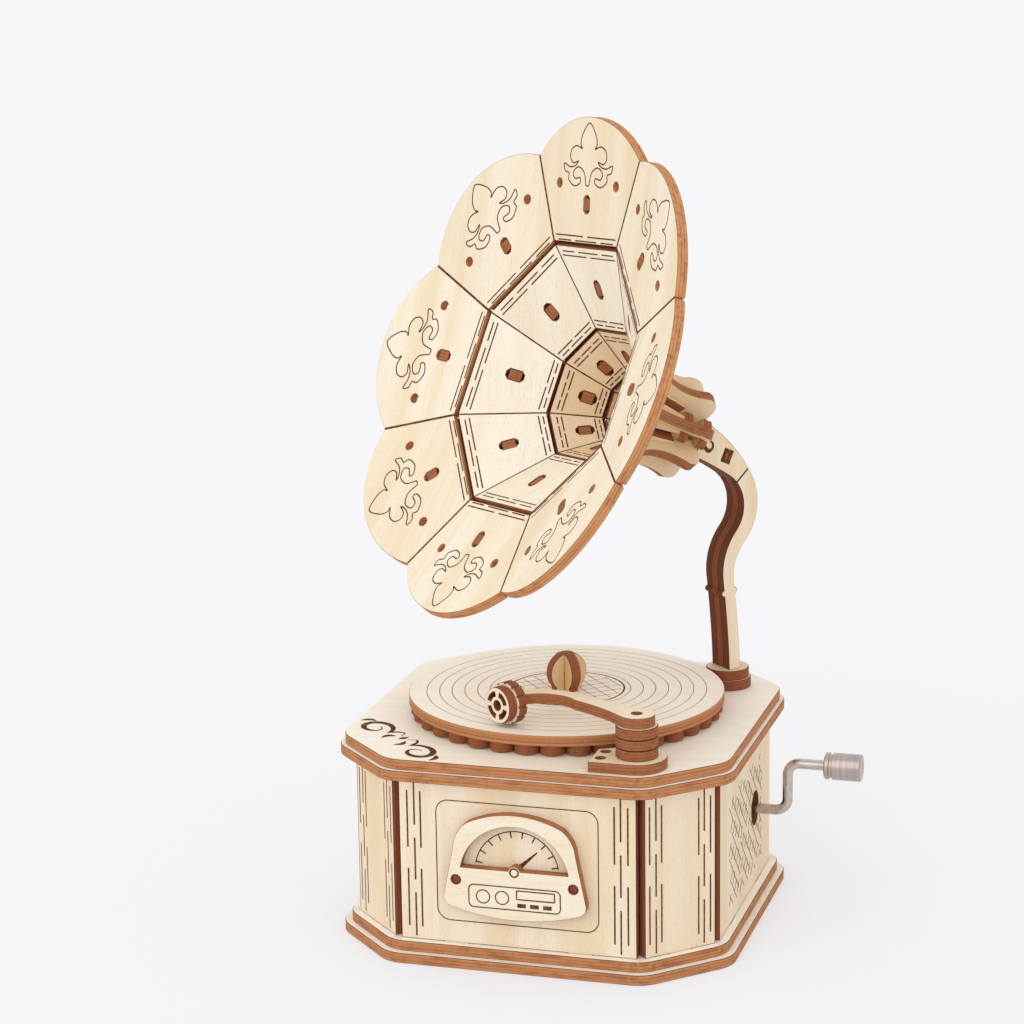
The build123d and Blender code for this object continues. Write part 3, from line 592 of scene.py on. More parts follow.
def rounded_rectangle(low: Pair, high: Pair, radius: float) -> np.ndarray:
    """Closed outline of a rectangle with quarter circles for corners.

    Args:
        low: Its lowest corner.
        high: Its highest corner.
        radius: Radius of the corners.

    Returns:
        Points, n by 2.
    """
    (left, bottom), (right, top) = (low[0] + radius, low[1] + radius), (high[0] - radius, high[1] - radius)
    corners = (((right, bottom), -90), ((right, top), 0), ((left, top), 90), ((left, bottom), 180))
    return np.concatenate([circle(corner, radius, start, start + 90) for corner, start in corners])


@dataclass
class Line:
    """One engraved line: its path on the surface, its width or widths, and whether it returns to its start."""

    path: np.ndarray
    width: float | np.ndarray = 0.35
    closed: bool = False


def straight(start: Pair, end: Pair, width: float | np.ndarray = 0.35) -> Line:
    """Straight engraved line."""
    return Line(np.array([start, end], float), width)


def dashes(start: Pair, end: Pair, spans: Sequence[Pair], width: float = 0.35) -> list[Line]:
    """Straight line of which only some shares are engraved.

    Args:
        start: Its first point.
        end: Its last point.
        spans: Shares of the line, from 0 to 1, that are engraved.
        width: Width of the line.

    Returns:
        The dashes.
    """
    low, run = np.array(start, float), np.array(end, float) - np.array(start, float)
    return [Line(np.array([low + a * run, low + b * run]), width) for a, b in spans]


@dataclass(frozen=True)
class Place:
    """Flat surface that lines are engraved on: its origin and two unit directions along it."""

    origin: Triple
    across: Triple
    up: Triple

    def lift(self, flat: np.ndarray) -> np.ndarray:
        """Points in space of places on the surface: origin + x across + y up + z normal.

        Args:
            flat: Ways across, ways up and heights over the surface, n by 3.

        Returns:
            Points, n by 3.
        """
        across, up = np.array(self.across), np.array(self.up)
        axes = np.stack([across, up, np.cross(across, up)])
        return np.array(self.origin) + flat @ axes


def engraved(place: Place, lines: Iterable[Line]) -> Shape:
    """Thin strips that fill engraved lines.

    A flat section is carried along each path. At a path point it lies across the mean direction of the two runs and
    is wider by 1 / cos(half of the turn), at most twice, so that the strip keeps its width. Its top is just over
    the surface and its bottom just under it.

    Args:
        place: Surface that carries the lines.
        lines: The lines.

    Returns:
        Closed strips.
    """
    strips = []
    for line in lines:
        path, count = line.path, len(line.path)
        if line.closed:
            before, after = path - np.roll(path, 1, 0), np.roll(path, -1, 0) - path
        else:
            runs = np.diff(path, axis=0)
            before, after = np.concatenate([runs[:1], runs]), np.concatenate([runs, runs[-1:]])
        before /= np.linalg.norm(before, axis=1)[:, None]
        after /= np.linalg.norm(after, axis=1)[:, None]
        mean = before + after
        length = np.maximum(np.linalg.norm(mean, axis=1), 1e-6)
        side = np.stack([-mean[:, 1], mean[:, 0]], -1) / length[:, None]
        half = np.broadcast_to(np.asarray(line.width, float) / 2, (count,)) * np.minimum(2 / length, 2.0)
        left, right = path + half[:, None] * side, path - half[:, None] * side
        flat = np.empty((count, 4, 3))
        flat[:, (0, 3), :2], flat[:, (1, 2), :2] = left[:, None, :], right[:, None, :]
        flat[:, :2, 2], flat[:, 2:, 2] = PROUD, -SUNK
        faces = grid_faces(count, 4, line.closed, True)
        if not line.closed:
            last = 4 * (count - 1)
            faces += [[0, 3, 2, 1], [last, last + 1, last + 2, last + 3]]
        strips.append(Shape(place.lift(flat.reshape(-1, 3)), faces))
    return join(strips)


# Pieces


def placed(name: str, mesh: bpy.types.Mesh) -> bpy.types.Object:
    """Object of a mesh, at the origin.

    Args:
        name: Name of the object.
        mesh: Its mesh.

    Returns:
        The object.
    """
    obj = bpy.data.objects.new(name, mesh)
    bpy.context.scene.collection.objects.link(obj)
    return obj


def settle(obj: bpy.types.Object, body: Body, material: bpy.types.Material,
           replaces: Sequence[str] = (), sharp: float = 35.0) -> bpy.types.Object:
    """Shade, dress and hang up a finished piece.

    Args:
        obj: The piece, at the origin.
        body: Body that it moves with.
        material: Its finish.
        replaces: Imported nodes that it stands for.
        sharp: Edges over this angle, in degrees, stay sharp.

    Returns:
        The piece.
    """
    obj.data.materials.clear()
    obj.data.materials.append(material)
    obj.data.shade_smooth()
    obj.data.set_sharp_from_angle(angle=radians(sharp))
    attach(obj, body.value)
    if replaces:
        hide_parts(*replaces)
    log.info("%s rides on %s: %d faces", obj.name, body.value, len(obj.data.polygons))
    return obj


def add_piece(name: str, shape: Shape, body: Body, material: bpy.types.Material,
              replaces: Sequence[str] = (), sharp: float = 35.0) -> bpy.types.Object:
    """Make a piece of a shape, with doubles merged and faces outwards.

    Args:
        name: Name of the piece.
        shape: Its surface, in millimetres.
        body: Body that it moves with.
        material: Its finish.
        replaces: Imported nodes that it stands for.
        sharp: Edges over this angle, in degrees, stay sharp.

    Returns:
        The piece.
    """
    mesh = bpy.data.meshes.new(name)
    mesh.from_pydata((shape.points * MM).tolist(), [], shape.faces)
    work = bmesh.new()
    work.from_mesh(mesh)
    bmesh.ops.remove_doubles(work, verts=work.verts, dist=WELD)
    bmesh.ops.recalc_face_normals(work, faces=work.faces)
    work.to_mesh(mesh)
    work.free()
    mesh.validate()
    return settle(placed(name, mesh), body, material, replaces, sharp)


def solids_of(mesh: bpy.types.Mesh) -> np.ndarray:
    """Number of the separate solid that each vertex belongs to: the least index that its edges lead to.

    Args:
        mesh: The mesh.

    Returns:
        A number for each vertex, the same within a solid.
    """
    ends = np.empty(2 * len(mesh.edges), np.int64)
    mesh.edges.foreach_get("vertices", ends)
    first, second = ends.reshape(-1, 2).T
    label = np.arange(len(mesh.vertices))
    while True:
        low = np.minimum(label[first], label[second])
        new = label.copy()
        np.minimum.at(new, first, low)
        np.minimum.at(new, second, low)
        new = new[new]
        if np.array_equal(new, label):
            return label
        label = new


@dataclass(frozen=True)
class Cut:
    """How a wooden piece was cut: brownness of its edges, of its bevels and of its faces, in places painted shade, and
    the wood's warmth, which on some pieces is painted shade.
    """

    edge: float = 0.5
    rim: float = 0.8
    face: float = 0.0
    warmth: float = 0.0
    grain: Triple = (0.0, 0.0, 1.0)


def mark_wood(obj: bpy.types.Object, cut: Cut) -> None:
    """Store the wood's grain map, burn and tone on a mesh of plates; burn and tone carry painted shade on some pieces.

    A solid's plate direction is the normal of its largest face. On faces along the plate the map holds the place
    along and across the grain in metres, moved by a chance shift of each solid. On cut edges it holds the place
    along the edge, and the share of the thickness.

    Args:
        obj: The wooden piece.
        cut: How it was cut.
    """
    mesh = obj.data
    count = len(mesh.polygons)
    normals, areas, totals = np.empty(3 * count), np.empty(count), np.empty(count, np.int64)
    mesh.polygons.foreach_get("normal", normals)
    mesh.polygons.foreach_get("area", areas)
    mesh.polygons.foreach_get("loop_total", totals)
    corners = np.empty(len(mesh.loops), np.int64)
    mesh.loops.foreach_get("vertex_index", corners)
    points = np.empty(3 * len(mesh.vertices))
    mesh.vertices.foreach_get("co", points)
    normals, points = normals.reshape(-1, 3), points.reshape(-1, 3)
    face_of = np.repeat(np.arange(count), totals)
    starts = np.cumsum(totals) - totals
    _, solid = np.unique(solids_of(mesh)[corners[starts]], return_inverse=True)
    largest = np.zeros(solid.max() + 1, np.int64)
    order = np.argsort(areas)
    largest[solid[order]] = order
    plate = normals[largest]
    along = np.array(cut.grain) - (plate @ np.array(cut.grain))[:, None] * plate
    flat = np.linalg.norm(along, axis=1) < GRAIN_LEAST
    along[flat] = np.array([1.0, 0, 0]) - plate[flat, :1] * plate[flat]
    along /= np.linalg.norm(along, axis=1)[:, None]
    across = np.cross(plate, along)
    place, owner, facing = points[corners], solid[face_of], normals[face_of]
    depth = np.sum(place * plate[owner], 1)
    low, high = np.full(len(plate), 1e9), np.full(len(plate), -1e9)
    np.minimum.at(low, owner, depth)
    np.maximum.at(high, owner, depth)
    square = np.abs(np.sum(facing * plate[owner], 1))
    is_face = square > FACE_COSINE
    run = np.cross(plate[owner], facing)
    run /= np.maximum(np.linalg.norm(run, axis=1), 1e-9)[:, None]
    chance = np.random.default_rng(zlib.crc32(obj.name.encode()))
    shift, tone = chance.random((len(plate), 2)), cut.warmth + TONE_SPREAD * chance.random(len(plate))
    through = (depth - low[owner]) / (high - low)[owner]
    side = np.where(is_face, np.sum(place * across[owner], 1) + shift[owner, 1], through)
    if cut.face:
        side = np.where(is_face, PLY_MIDDLE, side)
    ahead = np.where(is_face, np.sum(place * along[owner], 1), np.sum(place * run, 1)) + shift[owner, 0]
    # Brownness of each corner's cut: scorch, and painted shade where a piece's cut values stand for it.
    burn = np.where(is_face, cut.face, np.where(square > BEVEL_COSINE, cut.rim, cut.edge))
    mesh.uv_layers.new(name=GRAIN_UV).data.foreach_set("uv", np.stack([ahead, side], -1).astype(np.float32).ravel())
    for name, values in (("burn", burn), ("tone", tone[owner])):
        mesh.attributes.new(name, "FLOAT", "CORNER").data.foreach_set("value", values.astype(np.float32))


def wooden(name: str, node: str, body: Body, finishes: Finishes, cut: Cut, bevel: float = 0.12) -> bpy.types.Object:
    """Merged copy of a packed wooden node, with narrow bevels along its sharp edges.

    Args:
        name: Name of the piece.
        node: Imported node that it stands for.
        body: Body that it moves with.
        finishes: The materials.
        cut: How it was cut.
        bevel: Width of the bevels.

    Returns:
        The piece.
    """
    work = bmesh.new()
    work.from_mesh(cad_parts[node].data)
    bmesh.ops.remove_doubles(work, verts=work.verts, dist=WELD)
    bmesh.ops.dissolve_limit(work, angle_limit=radians(FLAT_ANGLE), verts=work.verts, edges=work.edges)
    sharp = [edge for edge in work.edges if edge.calc_face_angle(0.0) > radians(SHARP_ANGLE)]
    bmesh.ops.bevel(work, geom=sharp, offset=bevel * MM, offset_type="OFFSET", segments=1, profile=0.5,
                    affect="EDGES", clamp_overlap=True)
    mesh = bpy.data.meshes.new(name)
    work.to_mesh(mesh)
    work.free()
    for extra in [layer.name for layer in mesh.attributes if layer.name == "custom_normal"]:
        mesh.attributes.remove(mesh.attributes[extra])
    for layer in [layer.name for layer in mesh.uv_layers]:
        mesh.uv_layers.remove(mesh.uv_layers[layer])
    mesh.validate()
    obj = placed(name, mesh)
    mark_wood(obj, cut)
    return settle(obj, body, finishes.plywood, [node])


def planks(nodes: Iterable[str], body: Body, finishes: Finishes, cut: Cut) -> None:
    """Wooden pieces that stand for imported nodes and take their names, with _wood added.

    Args:
        nodes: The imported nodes.
        body: Body that they move with.
        finishes: The materials.
        cut: How they were cut.
    """
    for node in nodes:
        wooden(f"{node}_wood", node, body, finishes, cut)


def dressed(node: str, material: bpy.types.Material) -> None:
    """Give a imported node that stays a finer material.

    Args:
        node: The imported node.
        material: Its finish.
    """
    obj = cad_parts[node]
    if not obj.material_slots:
        obj.data.materials.append(material)
    for held in obj.material_slots:
        held.link = "OBJECT"
        held.material = material
    log.info("%s keeps its packed shape", node)


# Sub-assemblies


@dataclass(frozen=True)
class Flourish:
    """Corner ornament: two volutes that swing out from a small diamond, each with two leaf-shaped drops."""

    diamond: tuple[Pair, ...] = ((0.0, 0.2), (0.0, 1.7), (0.0, 3.2))
    diamond_widths: Triple = (0.1, 1.7, 0.1)
    lead: tuple[Pair, ...] = ((1.6, 1.9), (3.2, 3.6), (5.0, 2.6))
    drops: tuple[tuple[Pair, ...], ...] = (
        ((2.4, 0.9), (3.7, -0.6), (3.2, -2.6)), ((15.6, 2.2), (17.4, 1.2), (18.0, -0.8)))
    middle: Pair = (11.0, -0.3)
    broadening: float = 1.25
    outer_radius: float = 4.3
    shrinking: float = 3.1
    first_angle: float = 165.0
    sweep: float = 430.0
    steps: int = 40
    pen: Pair = (0.25, 1.35)
    drop_pen: Pair = (0.15, 1.25)
    drop_end: float = 0.1

    def volute(self) -> np.ndarray:
        """Path of the right volute, from its lead to its eye.

        The radius falls evenly with the angle: point = middle + r (k cos a, sin a), where k broadens it.

        Returns:
            Points, n by 2.
        """
        share = np.linspace(0, 1, self.steps)
        angle = radians(self.first_angle) - share * radians(self.sweep)
        radius = self.outer_radius - self.shrinking * share
        coil = np.stack([self.middle[0] + self.broadening * radius * np.cos(angle),
                         self.middle[1] + radius * np.sin(angle)], -1)
        return np.concatenate([smooth_path(self.lead, False), coil])

    def lines(self) -> list[Line]:
        """Lines of the ornament.

        A volute's pen width is narrow + swell sin^2 of its share of half a turn, and a drop's is narrow + swell sin.

        Returns:
            The diamond, and on each side the volute and its drops.
        """
        lines = [Line(np.array(self.diamond), np.array(self.diamond_widths))]
        path = self.volute()
        width = self.pen[0] + self.pen[1] * np.sin(np.linspace(0, pi, len(path))) ** 2
        for side in (-1, 1):
            lines.append(Line(path * np.array([side, 1.0]), width))
            for drop in self.drops:
                leaf = smooth_path(drop, False) * np.array([side, 1.0])
                swell = np.sin(np.linspace(self.drop_end, pi - self.drop_end, len(leaf)))
                lines.append(Line(leaf, self.drop_pen[0] + self.drop_pen[1] * swell))
        return lines


@dataclass
class Case:
    """Eight walls between two pairs of plates, with the dial on the front and engraved lines round it.

    Heights are counted from the surface that the case stands on.
    """

    width: float = 88.8
    corner_cut: float = 14.9
    floor: float = 5.0
    top: float = 44.7
    deck: float = 49.7
    walls: tuple[tuple[str, int], ...] = (
        ("front_wall", -90), ("right_wall", 0), ("rear_wall", 90), ("left_wall", 180),
        ("front_right_corner_wall", -45), ("rear_right_corner_wall", 45),
        ("rear_left_corner_wall", 135), ("front_left_corner_wall", -135))
    wall_lines: Triple = (2.0, 3.7, 5.2)
    corner_lines: Triple = (1.3, 3.0, 4.5)
    fluting_width: float = 0.4
    outer_spans: tuple[Pair, ...] = ((0.08, 0.44), (0.57, 0.92))
    inner_spans: tuple[Pair, ...] = ((0.02, 0.29), (0.37, 0.63), (0.71, 0.97))
    panel: tuple[Pair, Pair] = ((-19.45, 10.5), (19.45, 39.9))
    panel_corner: float = 3.0
    dial_middle: Pair = (0.0, 23.5)
    dial_radius: float = 10.1
    tick_length: float = 1.6
    tick_angles: tuple[float, ...] = (8.5, 26.0, 43.0, 61.0, 78.0)
    tick_width: float = 0.34
    fine_width: float = 0.28
    pointer: tuple[Pair, Pair] = ((0.3, 24.6), (4.9, 28.9))
    pointer_widths: Pair = (1.15, 0.3)
    pointer_boss: Pair = (0.0, 24.4)
    controls: tuple[Pair, Pair] = ((-11.0, 15.3), (11.0, 20.8))
    control_rings: tuple[Pair, ...] = ((-7.57, 18.0), (-2.98, 18.05))
    display: tuple[Pair, Pair] = ((0.54, 18.0), (9.62, 20.1))
    buttons: tuple[float, ...] = (1.7, 4.8, 7.9)
    button_level: float = 16.5
    button_half: float = 1.05
    lattice_half: float = 18.5
    lattice_low: float = 9.0
    lattice_high: float = 36.6
    lattice_pitch: float = 4.2
    lattice_ways: tuple[tuple[int, float, float, float], ...] = ((-1, 2.6, 0.4, 0.26), (1, 0.55, 0.45, 0.34))
    lattice_stagger: float = 0.3
    lattice_last: float = 0.8
    lattice_least: float = 0.3
    crank_hole: Pair = (10.7, 24.5)
    hole_reach: float = 4.6
    flourish_reach: float = 46.0

    def wall_place(self, heading: float, corner: bool) -> Place:
        """Outer face of a wall, with its origin at the foot of its middle line.

        Args:
            heading: Direction that the wall faces, in degrees from +X.
            corner: Whether it is one of the narrow walls.

        Returns:
            The face.
        """
        reach = self.width / 2 if not corner else (self.width - self.corner_cut) / sqrt(2)
        out = (cos(radians(heading)), sin(radians(heading)))
        return Place((reach * out[0], reach * out[1], self.floor), (-out[1], out[0], 0.0), (0.0, 0.0, 1.0))

    def on_wall(self, place: Pair) -> Pair:
        """Place on a wall, counted from the wall's foot."""
        return place[0], place[1] - self.floor

    def half_length(self, corner: bool) -> float:
        """Half of a wall's length between the grooves beside it.

        Args:
            corner: Whether it is one of the narrow walls.

        Returns:
            Half of the length.
        """
        groove = PLY * tan(radians(22.5))
        length = self.corner_cut * sqrt(2) if corner else self.width - 2 * self.corner_cut
        return length / 2 - groove

    def fluting(self, corner: bool) -> list[Line]:
        """Three columns of dashes beside each end of a wall.

        Args:
            corner: Whether it is one of the narrow walls.

        Returns:
            The dashes.
        """
        height, half, lines = self.top - self.floor, self.half_length(corner), []
        for side in (-1, 1):
            for index, inset in enumerate(self.corner_lines if corner else self.wall_lines):
                x = side * (half - inset)
                spans = self.inner_spans if index == 1 else self.outer_spans
                lines += dashes((x, 0.0), (x, height), spans, self.fluting_width)
        return lines

    def outside_hole(self, slope: int, level: float, start: float, end: float) -> list[Pair]:
        """Parts of a slanting dash that stay clear of the crank's hole.

        With the hole's middle at (a, b), e = c + m a - b and m^2 = 1, the line c + m x is inside the circle of
        radius r where x - a lies between (-m e - root) / 2 and (-m e + root) / 2, and root^2 = 2 r^2 - e^2.

        Args:
            slope: Slope m of the line, 1 or -1.
            level: Its height c at x = 0.
            start: x of the dash's start.
            end: x of its end.

        Returns:
            Start and end of each part.
        """
        x, height = self.on_wall(self.crank_hole)
        off = level + slope * x - height
        root = sqrt(max(2 * self.hole_reach ** 2 - off ** 2, 0))
        if not root:
            return [(start, end)]
        near, far = (x + (-slope * off + way * root) / 2 for way in (-1, 1))
        return [(start, min(end, near)), (max(start, far), end)]

    def lattice(self, pierced: bool) -> list[Line]:
        """Crossed slanting lines inside a rectangle, the falling ones long and the rising ones short dashes.

        A line of slope m through (0, c) is kept where its height c + m x lies inside the rectangle.

        Args:
            pierced: Whether the crank passes through this wall.

        Returns:
            The dashes.
        """
        low, high = self.lattice_low - self.floor, self.lattice_high - self.floor
        half, pitch, lines = self.lattice_half, self.lattice_pitch, []
        for slope, dash, gap, width in self.lattice_ways:
            for step in range(1, int((2 * half + high - low) / pitch)):
                level = low - half + step * pitch
                ends = sorted(((low - level) / slope, (high - level) / slope))
                start, end = max(-half, ends[0]), min(half, ends[1])
                x = start + (step % 3) * self.lattice_stagger * pitch
                while x < end - self.lattice_last:
                    stop = min(x + dash * pitch, end)
                    for first, last in self.outside_hole(slope, level, x, stop) if pierced else [(x, stop)]:
                        if last - first > self.lattice_least:
                            lines.append(straight((first, level + slope * first), (last, level + slope * last), width))
                    x = stop + gap * pitch
        return lines

    def dial(self) -> list[Line]:
        """Half-round scale with ticks, and a tapered pointer, on the wall behind the window.

        A tick at angle a from upright runs along (sin a, cos a) from the inner to the outer radius.

        Returns:
            The lines.
        """
        x, z = self.on_wall(self.dial_middle)
        lines = [Line(circle((x, z), self.dial_radius, 10, 170), self.fine_width)]
        inner = self.dial_radius - self.tick_length
        for angle in [side * tick for tick in self.tick_angles for side in (-1, 1)]:
            way = np.array([sin(radians(angle)), cos(radians(angle))])
            lines.append(straight((x, z) + inner * way, (x, z) + self.dial_radius * way, self.tick_width))
        root, tip = (self.on_wall(place) for place in self.pointer)
        return lines + [straight(root, tip, np.array(self.pointer_widths))]

    def bezel_lines(self) -> list[Line]:
        """Control panel under the dial: two rings, a display and three buttons in a rounded frame.

        Returns:
            The lines, and the ring round the pointer's root.
        """
        lines = [Line(rounded_rectangle(*map(self.on_wall, self.controls), 1.2), 0.3, True)]
        lines += [Line(circle(self.on_wall(ring), 1.6), self.fine_width, True) for ring in self.control_rings]
        lines += [Line(rounded_rectangle(*map(self.on_wall, self.display), 0.15), 0.32, True),
                  Line(circle(self.on_wall(self.pointer_boss), 1.0), 0.4, True)]
        for x in self.buttons:
            ends = ((x - self.button_half, self.button_level), (x + self.button_half, self.button_level))
            lines.append(straight(*map(self.on_wall, ends), 1.0))
        return lines

    def build(self, finishes: Finishes) -> None:
        """Make the plates, walls, dial and engraved lines.

        Args:
            finishes: The materials.
        """
        # The plates' near-black rims paint the shade in the gaps between stacked plates, and the walls' dark side
        # edges paint the shade in the grooves between walls, over the real scorch.
        planks(("lower_bottom_plate", "upper_bottom_plate", "lower_top_plate", "upper_top_plate"), Body.CASE,
               finishes, Cut(0.36, 0.97, warmth=-0.9, grain=(1.0, 0.05, 0.0)))
        planks([node for node, _ in self.walls], Body.CASE, finishes, Cut(0.85, 1.0, warmth=0.1))
        wooden("dial_bezel_wood", "dial_bezel", Body.CASE, finishes, Cut(0.5, 0.9, grain=(0.2, 1.0, 0.0)))
        wooden("dial_bezel_dowels", "dial_bezel_pegs", Body.CASE, finishes, Cut(0.9, 1.0, face=0.93), 0.15)
        strips = []
        for node, heading in self.walls:
            corner = "corner" in node
            pattern = self.lattice(node == "right_wall") if heading in (0, 180) else self.fluting(corner)
            strips.append(engraved(self.wall_place(heading, corner), pattern))
        front = self.wall_place(-90, False)
        frame_line = rounded_rectangle(*map(self.on_wall, self.panel), self.panel_corner)
        strips.append(engraved(front, [Line(frame_line, 0.26, True), *self.dial()]))
        x, y, z = front.origin
        strips.append(engraved(Place((x, y - PLY, z), front.across, front.up), self.bezel_lines()))
        slant = 1 / sqrt(2)
        place = -self.flourish_reach * slant
        corner_place = Place((place, place, self.deck), (slant, -slant, 0.0), (slant, slant, 0.0))
        strips.append(engraved(corner_place, Flourish().lines()))
        add_piece("case_engraving", join(strips), Body.CASE, finishes.scorch)


@dataclass
class Movement:
    """Pinned cylinder, comb and worm gear behind the walls, with the crank that drives them."""

    wire_radius: float = 1.25
    bend_radius: float = 3.0
    axis: Pair = (10.7, 24.5)
    throw: float = 12.2
    reach: float = 52.5
    start: float = -11.75
    knob_start: float = 61.7
    knob_length: float = 8.9
    knob_radius: float = 3.3
    knob_edge: float = 0.35
    knob_wall: float = 1.3
    knob_end: tuple[Pair, ...] = ((0.0, 8.78), (1.6, 8.8), (2.3, 8.9))
    knob_foot: tuple[Pair, ...] = (
        (3.3, 2.0), (2.95, 1.92), (2.9, 1.85), (2.9, 1.25), (2.95, 1.18), (3.3, 1.1), (3.3, 0.3), (3.0, 0.0),
        (1.45, 0.0), (1.3, 0.15), (1.3, 7.9), (0.0, 7.9))

    def crank_path(self) -> np.ndarray:
        """Centre line of the bent wire: three straight runs joined by quarter circles.

        Returns:
            Points, n by 3.
        """
        y, z = self.axis
        r, top, end = self.bend_radius, z + self.throw, self.knob_start + self.knob_length - self.knob_wall
        turn = np.linspace(0, pi / 2, 12)
        low = np.stack([self.reach - r + r * np.sin(turn), z + r - r * np.cos(turn)], -1)
        high = np.stack([self.reach + r - r * np.cos(turn), top - r + r * np.sin(turn)], -1)
        flat = np.concatenate([[(self.start, z)], low, high, [(end, top)]])
        return np.insert(flat, 1, y, axis=1)

    def knob(self) -> Shape:
        """Turned knob along X, with rounded rims, a groove near its inner end and a faint dished end.

        The profile is turned about Z from its end to its foot and its bore, then laid along X.

        Returns:
            The closed knob.
        """
        edge, rim = self.knob_edge, self.knob_radius - self.knob_edge
        turn = np.linspace(0, pi / 2, 5)
        corner = [(rim + edge * sin(a), self.knob_length - edge + edge * cos(a)) for a in turn]
        profile = [*self.knob_end, *corner, *self.knob_foot]
        shape = turned(profile, 72)
        x, y, z = shape.points.T
        y0, z0 = self.axis
        return Shape(np.stack([z + self.knob_start, x + y0, y + z0 + self.throw], -1), shape.faces)

    def build(self, finishes: Finishes) -> None:
        """Make the crank and its knob, and dress the movement.

        Args:
            finishes: The materials.
        """
        add_piece("crank_bar", tube(self.crank_path(), self.wire_radius), Body.CRANK, finishes.wire,
                  ["crank_wire"])
        add_piece("crank_grip", self.knob(), Body.KNOB, finishes.steel, ["crank_knob"], 28.0)
        planks(("movement_panel",), Body.CASE, finishes, Cut(0.8, 1.0))
        metals = {"bedplate": finishes.cast, "comb": finishes.comb, "comb_screws": finishes.steel,
                  "movement_screws": finishes.steel, "arbor_brackets": finishes.cast,
                  "pinned_cylinder": finishes.brass, "worm_wheel": finishes.brass, "worm": finishes.brass,
                  "cylinder_arbor": finishes.steel}
        for node, material in metals.items():
            dressed(node, material)


@dataclass
class Turntable:
    """Grooved record on a disc with a lobed rim, and a knob of two crossed discs."""

    record_radius: float = 38.2
    record_bottom: float = 52.5
    label_radius: float = 14.0
    groove_radii: tuple[float, ...] = (15.5, 18.6, 21.6, 24.7, 27.8, 30.8, 33.9)
    groove_half: float = 0.11
    groove_depth: float = 0.07
    ring_width: float = 0.42
    grid_pitch: float = 3.1
    grid_width: float = 0.2
    grid_inset: float = 0.8
    grid_shortest: float = 2.0
    label_turn: float = 40.0
    lobes: int = 36
    points_per_lobe: int = 14
    lobe_radius: float = 2.9
    lobe_tip: float = 37.8
    disc_bottom: float = 50.0
    bevel: float = 0.12

    def record(self) -> Shape:
        """Record turned about Z, with a V-shaped groove at each groove radius.

        Returns:
            The closed disc.
        """
        bottom, top, rim = self.record_bottom, self.record_bottom + PLY, self.record_radius
        profile = [(0.0, top)]
        for radius in self.groove_radii:
            profile += [(radius - self.groove_half, top), (radius, top - self.groove_depth),
                        (radius + self.groove_half, top)]
        profile += [(rim - self.bevel, top), (rim, top - self.bevel), (rim, bottom + self.bevel),
                    (rim - self.bevel, bottom), (0.0, bottom)]
        return turned(profile, 160)

    def lobed_disc(self) -> Shape:
        """Disc whose rim is a ring of touching circles.

        Along a ray at angle a from a circle's middle direction the rim is c cos a + sqrt(r^2 - c^2 sin^2 a), where
        c is the middle's distance from the axis and r the circle's radius, with the root taken as 0 between circles.

        Returns:
            The closed disc.
        """
        centre = self.lobe_tip - self.lobe_radius
        angle = np.linspace(0, 2 * pi, self.lobes * self.points_per_lobe, endpoint=False)
        near = (angle + pi / self.lobes) % (2 * pi / self.lobes) - pi / self.lobes
        inside = np.maximum(self.lobe_radius ** 2 - (centre * np.sin(near)) ** 2, 0)
        rim = centre * np.cos(near) + np.sqrt(inside)
        low, high = self.disc_bottom, self.disc_bottom + PLY
        share = np.array([0.0, 1.0, 1.0, 1.0, 1.0, 0.0])
        inset = np.array([0.0, self.bevel, 0.0, 0.0, self.bevel, 0.0])
        height = np.array([high, high, high - self.bevel, low + self.bevel, low, low])
        radius = rim[:, None] * share - inset
        points = np.stack([radius * np.cos(angle)[:, None], radius * np.sin(angle)[:, None],
                           height + 0 * radius], -1)
        return Shape(points.reshape(-1, 3), grid_faces(len(angle), len(height), True, False))

    def label(self) -> list[Line]:
        """Ring and crossed lines of the label.

        A line at distance d from the middle ends at sqrt(r^2 - d^2), just inside the ring.

        Returns:
            The ring, then the crossed lines.
        """
        lines = [Line(circle((0.0, 0.0), self.label_radius), self.ring_width, True)]
        reach, width = self.label_radius - self.grid_inset, self.grid_width
        for step in np.arange(-4, 5) * self.grid_pitch:
            half = sqrt(max(reach ** 2 - step ** 2, 0))
            if half > self.grid_shortest:
                lines += [straight((-half, step), (half, step), width), straight((step, -half), (step, half), width)]
        return lines

    def build(self, finishes: Finishes) -> None:
        """Make the record, the lobed disc, the knob and the label.

        Args:
            finishes: The materials.
        """
        record = add_piece("grooved_record", self.record(), Body.TURNTABLE, finishes.plywood,
                           ["record_disc"], 20.0)
        mark_wood(record, Cut(0.4, 0.05, warmth=-0.8, grain=(1.0, -0.3, 0.0)))
        disc = add_piece("lobed_rim", self.lobed_disc(), Body.TURNTABLE, finishes.plywood,
                         ["lobed_disc"])
        mark_wood(disc, Cut(0.85, 1.0, grain=(1.0, -0.3, 0.0)))
        # The knob discs' strong warmth is painted shade: it tints their upright faces tan as if shaded.
        for side in ("left", "right"):
            wooden(f"knob_{side}_wood", f"knob_disc_{side}", Body.TURNTABLE, finishes, Cut(0.8, 1.0, warmth=0.75))
        turn = radians(self.label_turn)
        place = Place((0.0, 0.0, self.record_bottom + PLY), (cos(turn), sin(turn), 0.0), (-sin(turn), cos(turn), 0.0))
        ring, *grid = self.label()
        add_piece("label_ring", engraved(place, [ring]), Body.TURNTABLE, finishes.scorch)
        add_piece("label_grid", engraved(place, grid), Body.TURNTABLE, finishes.score)


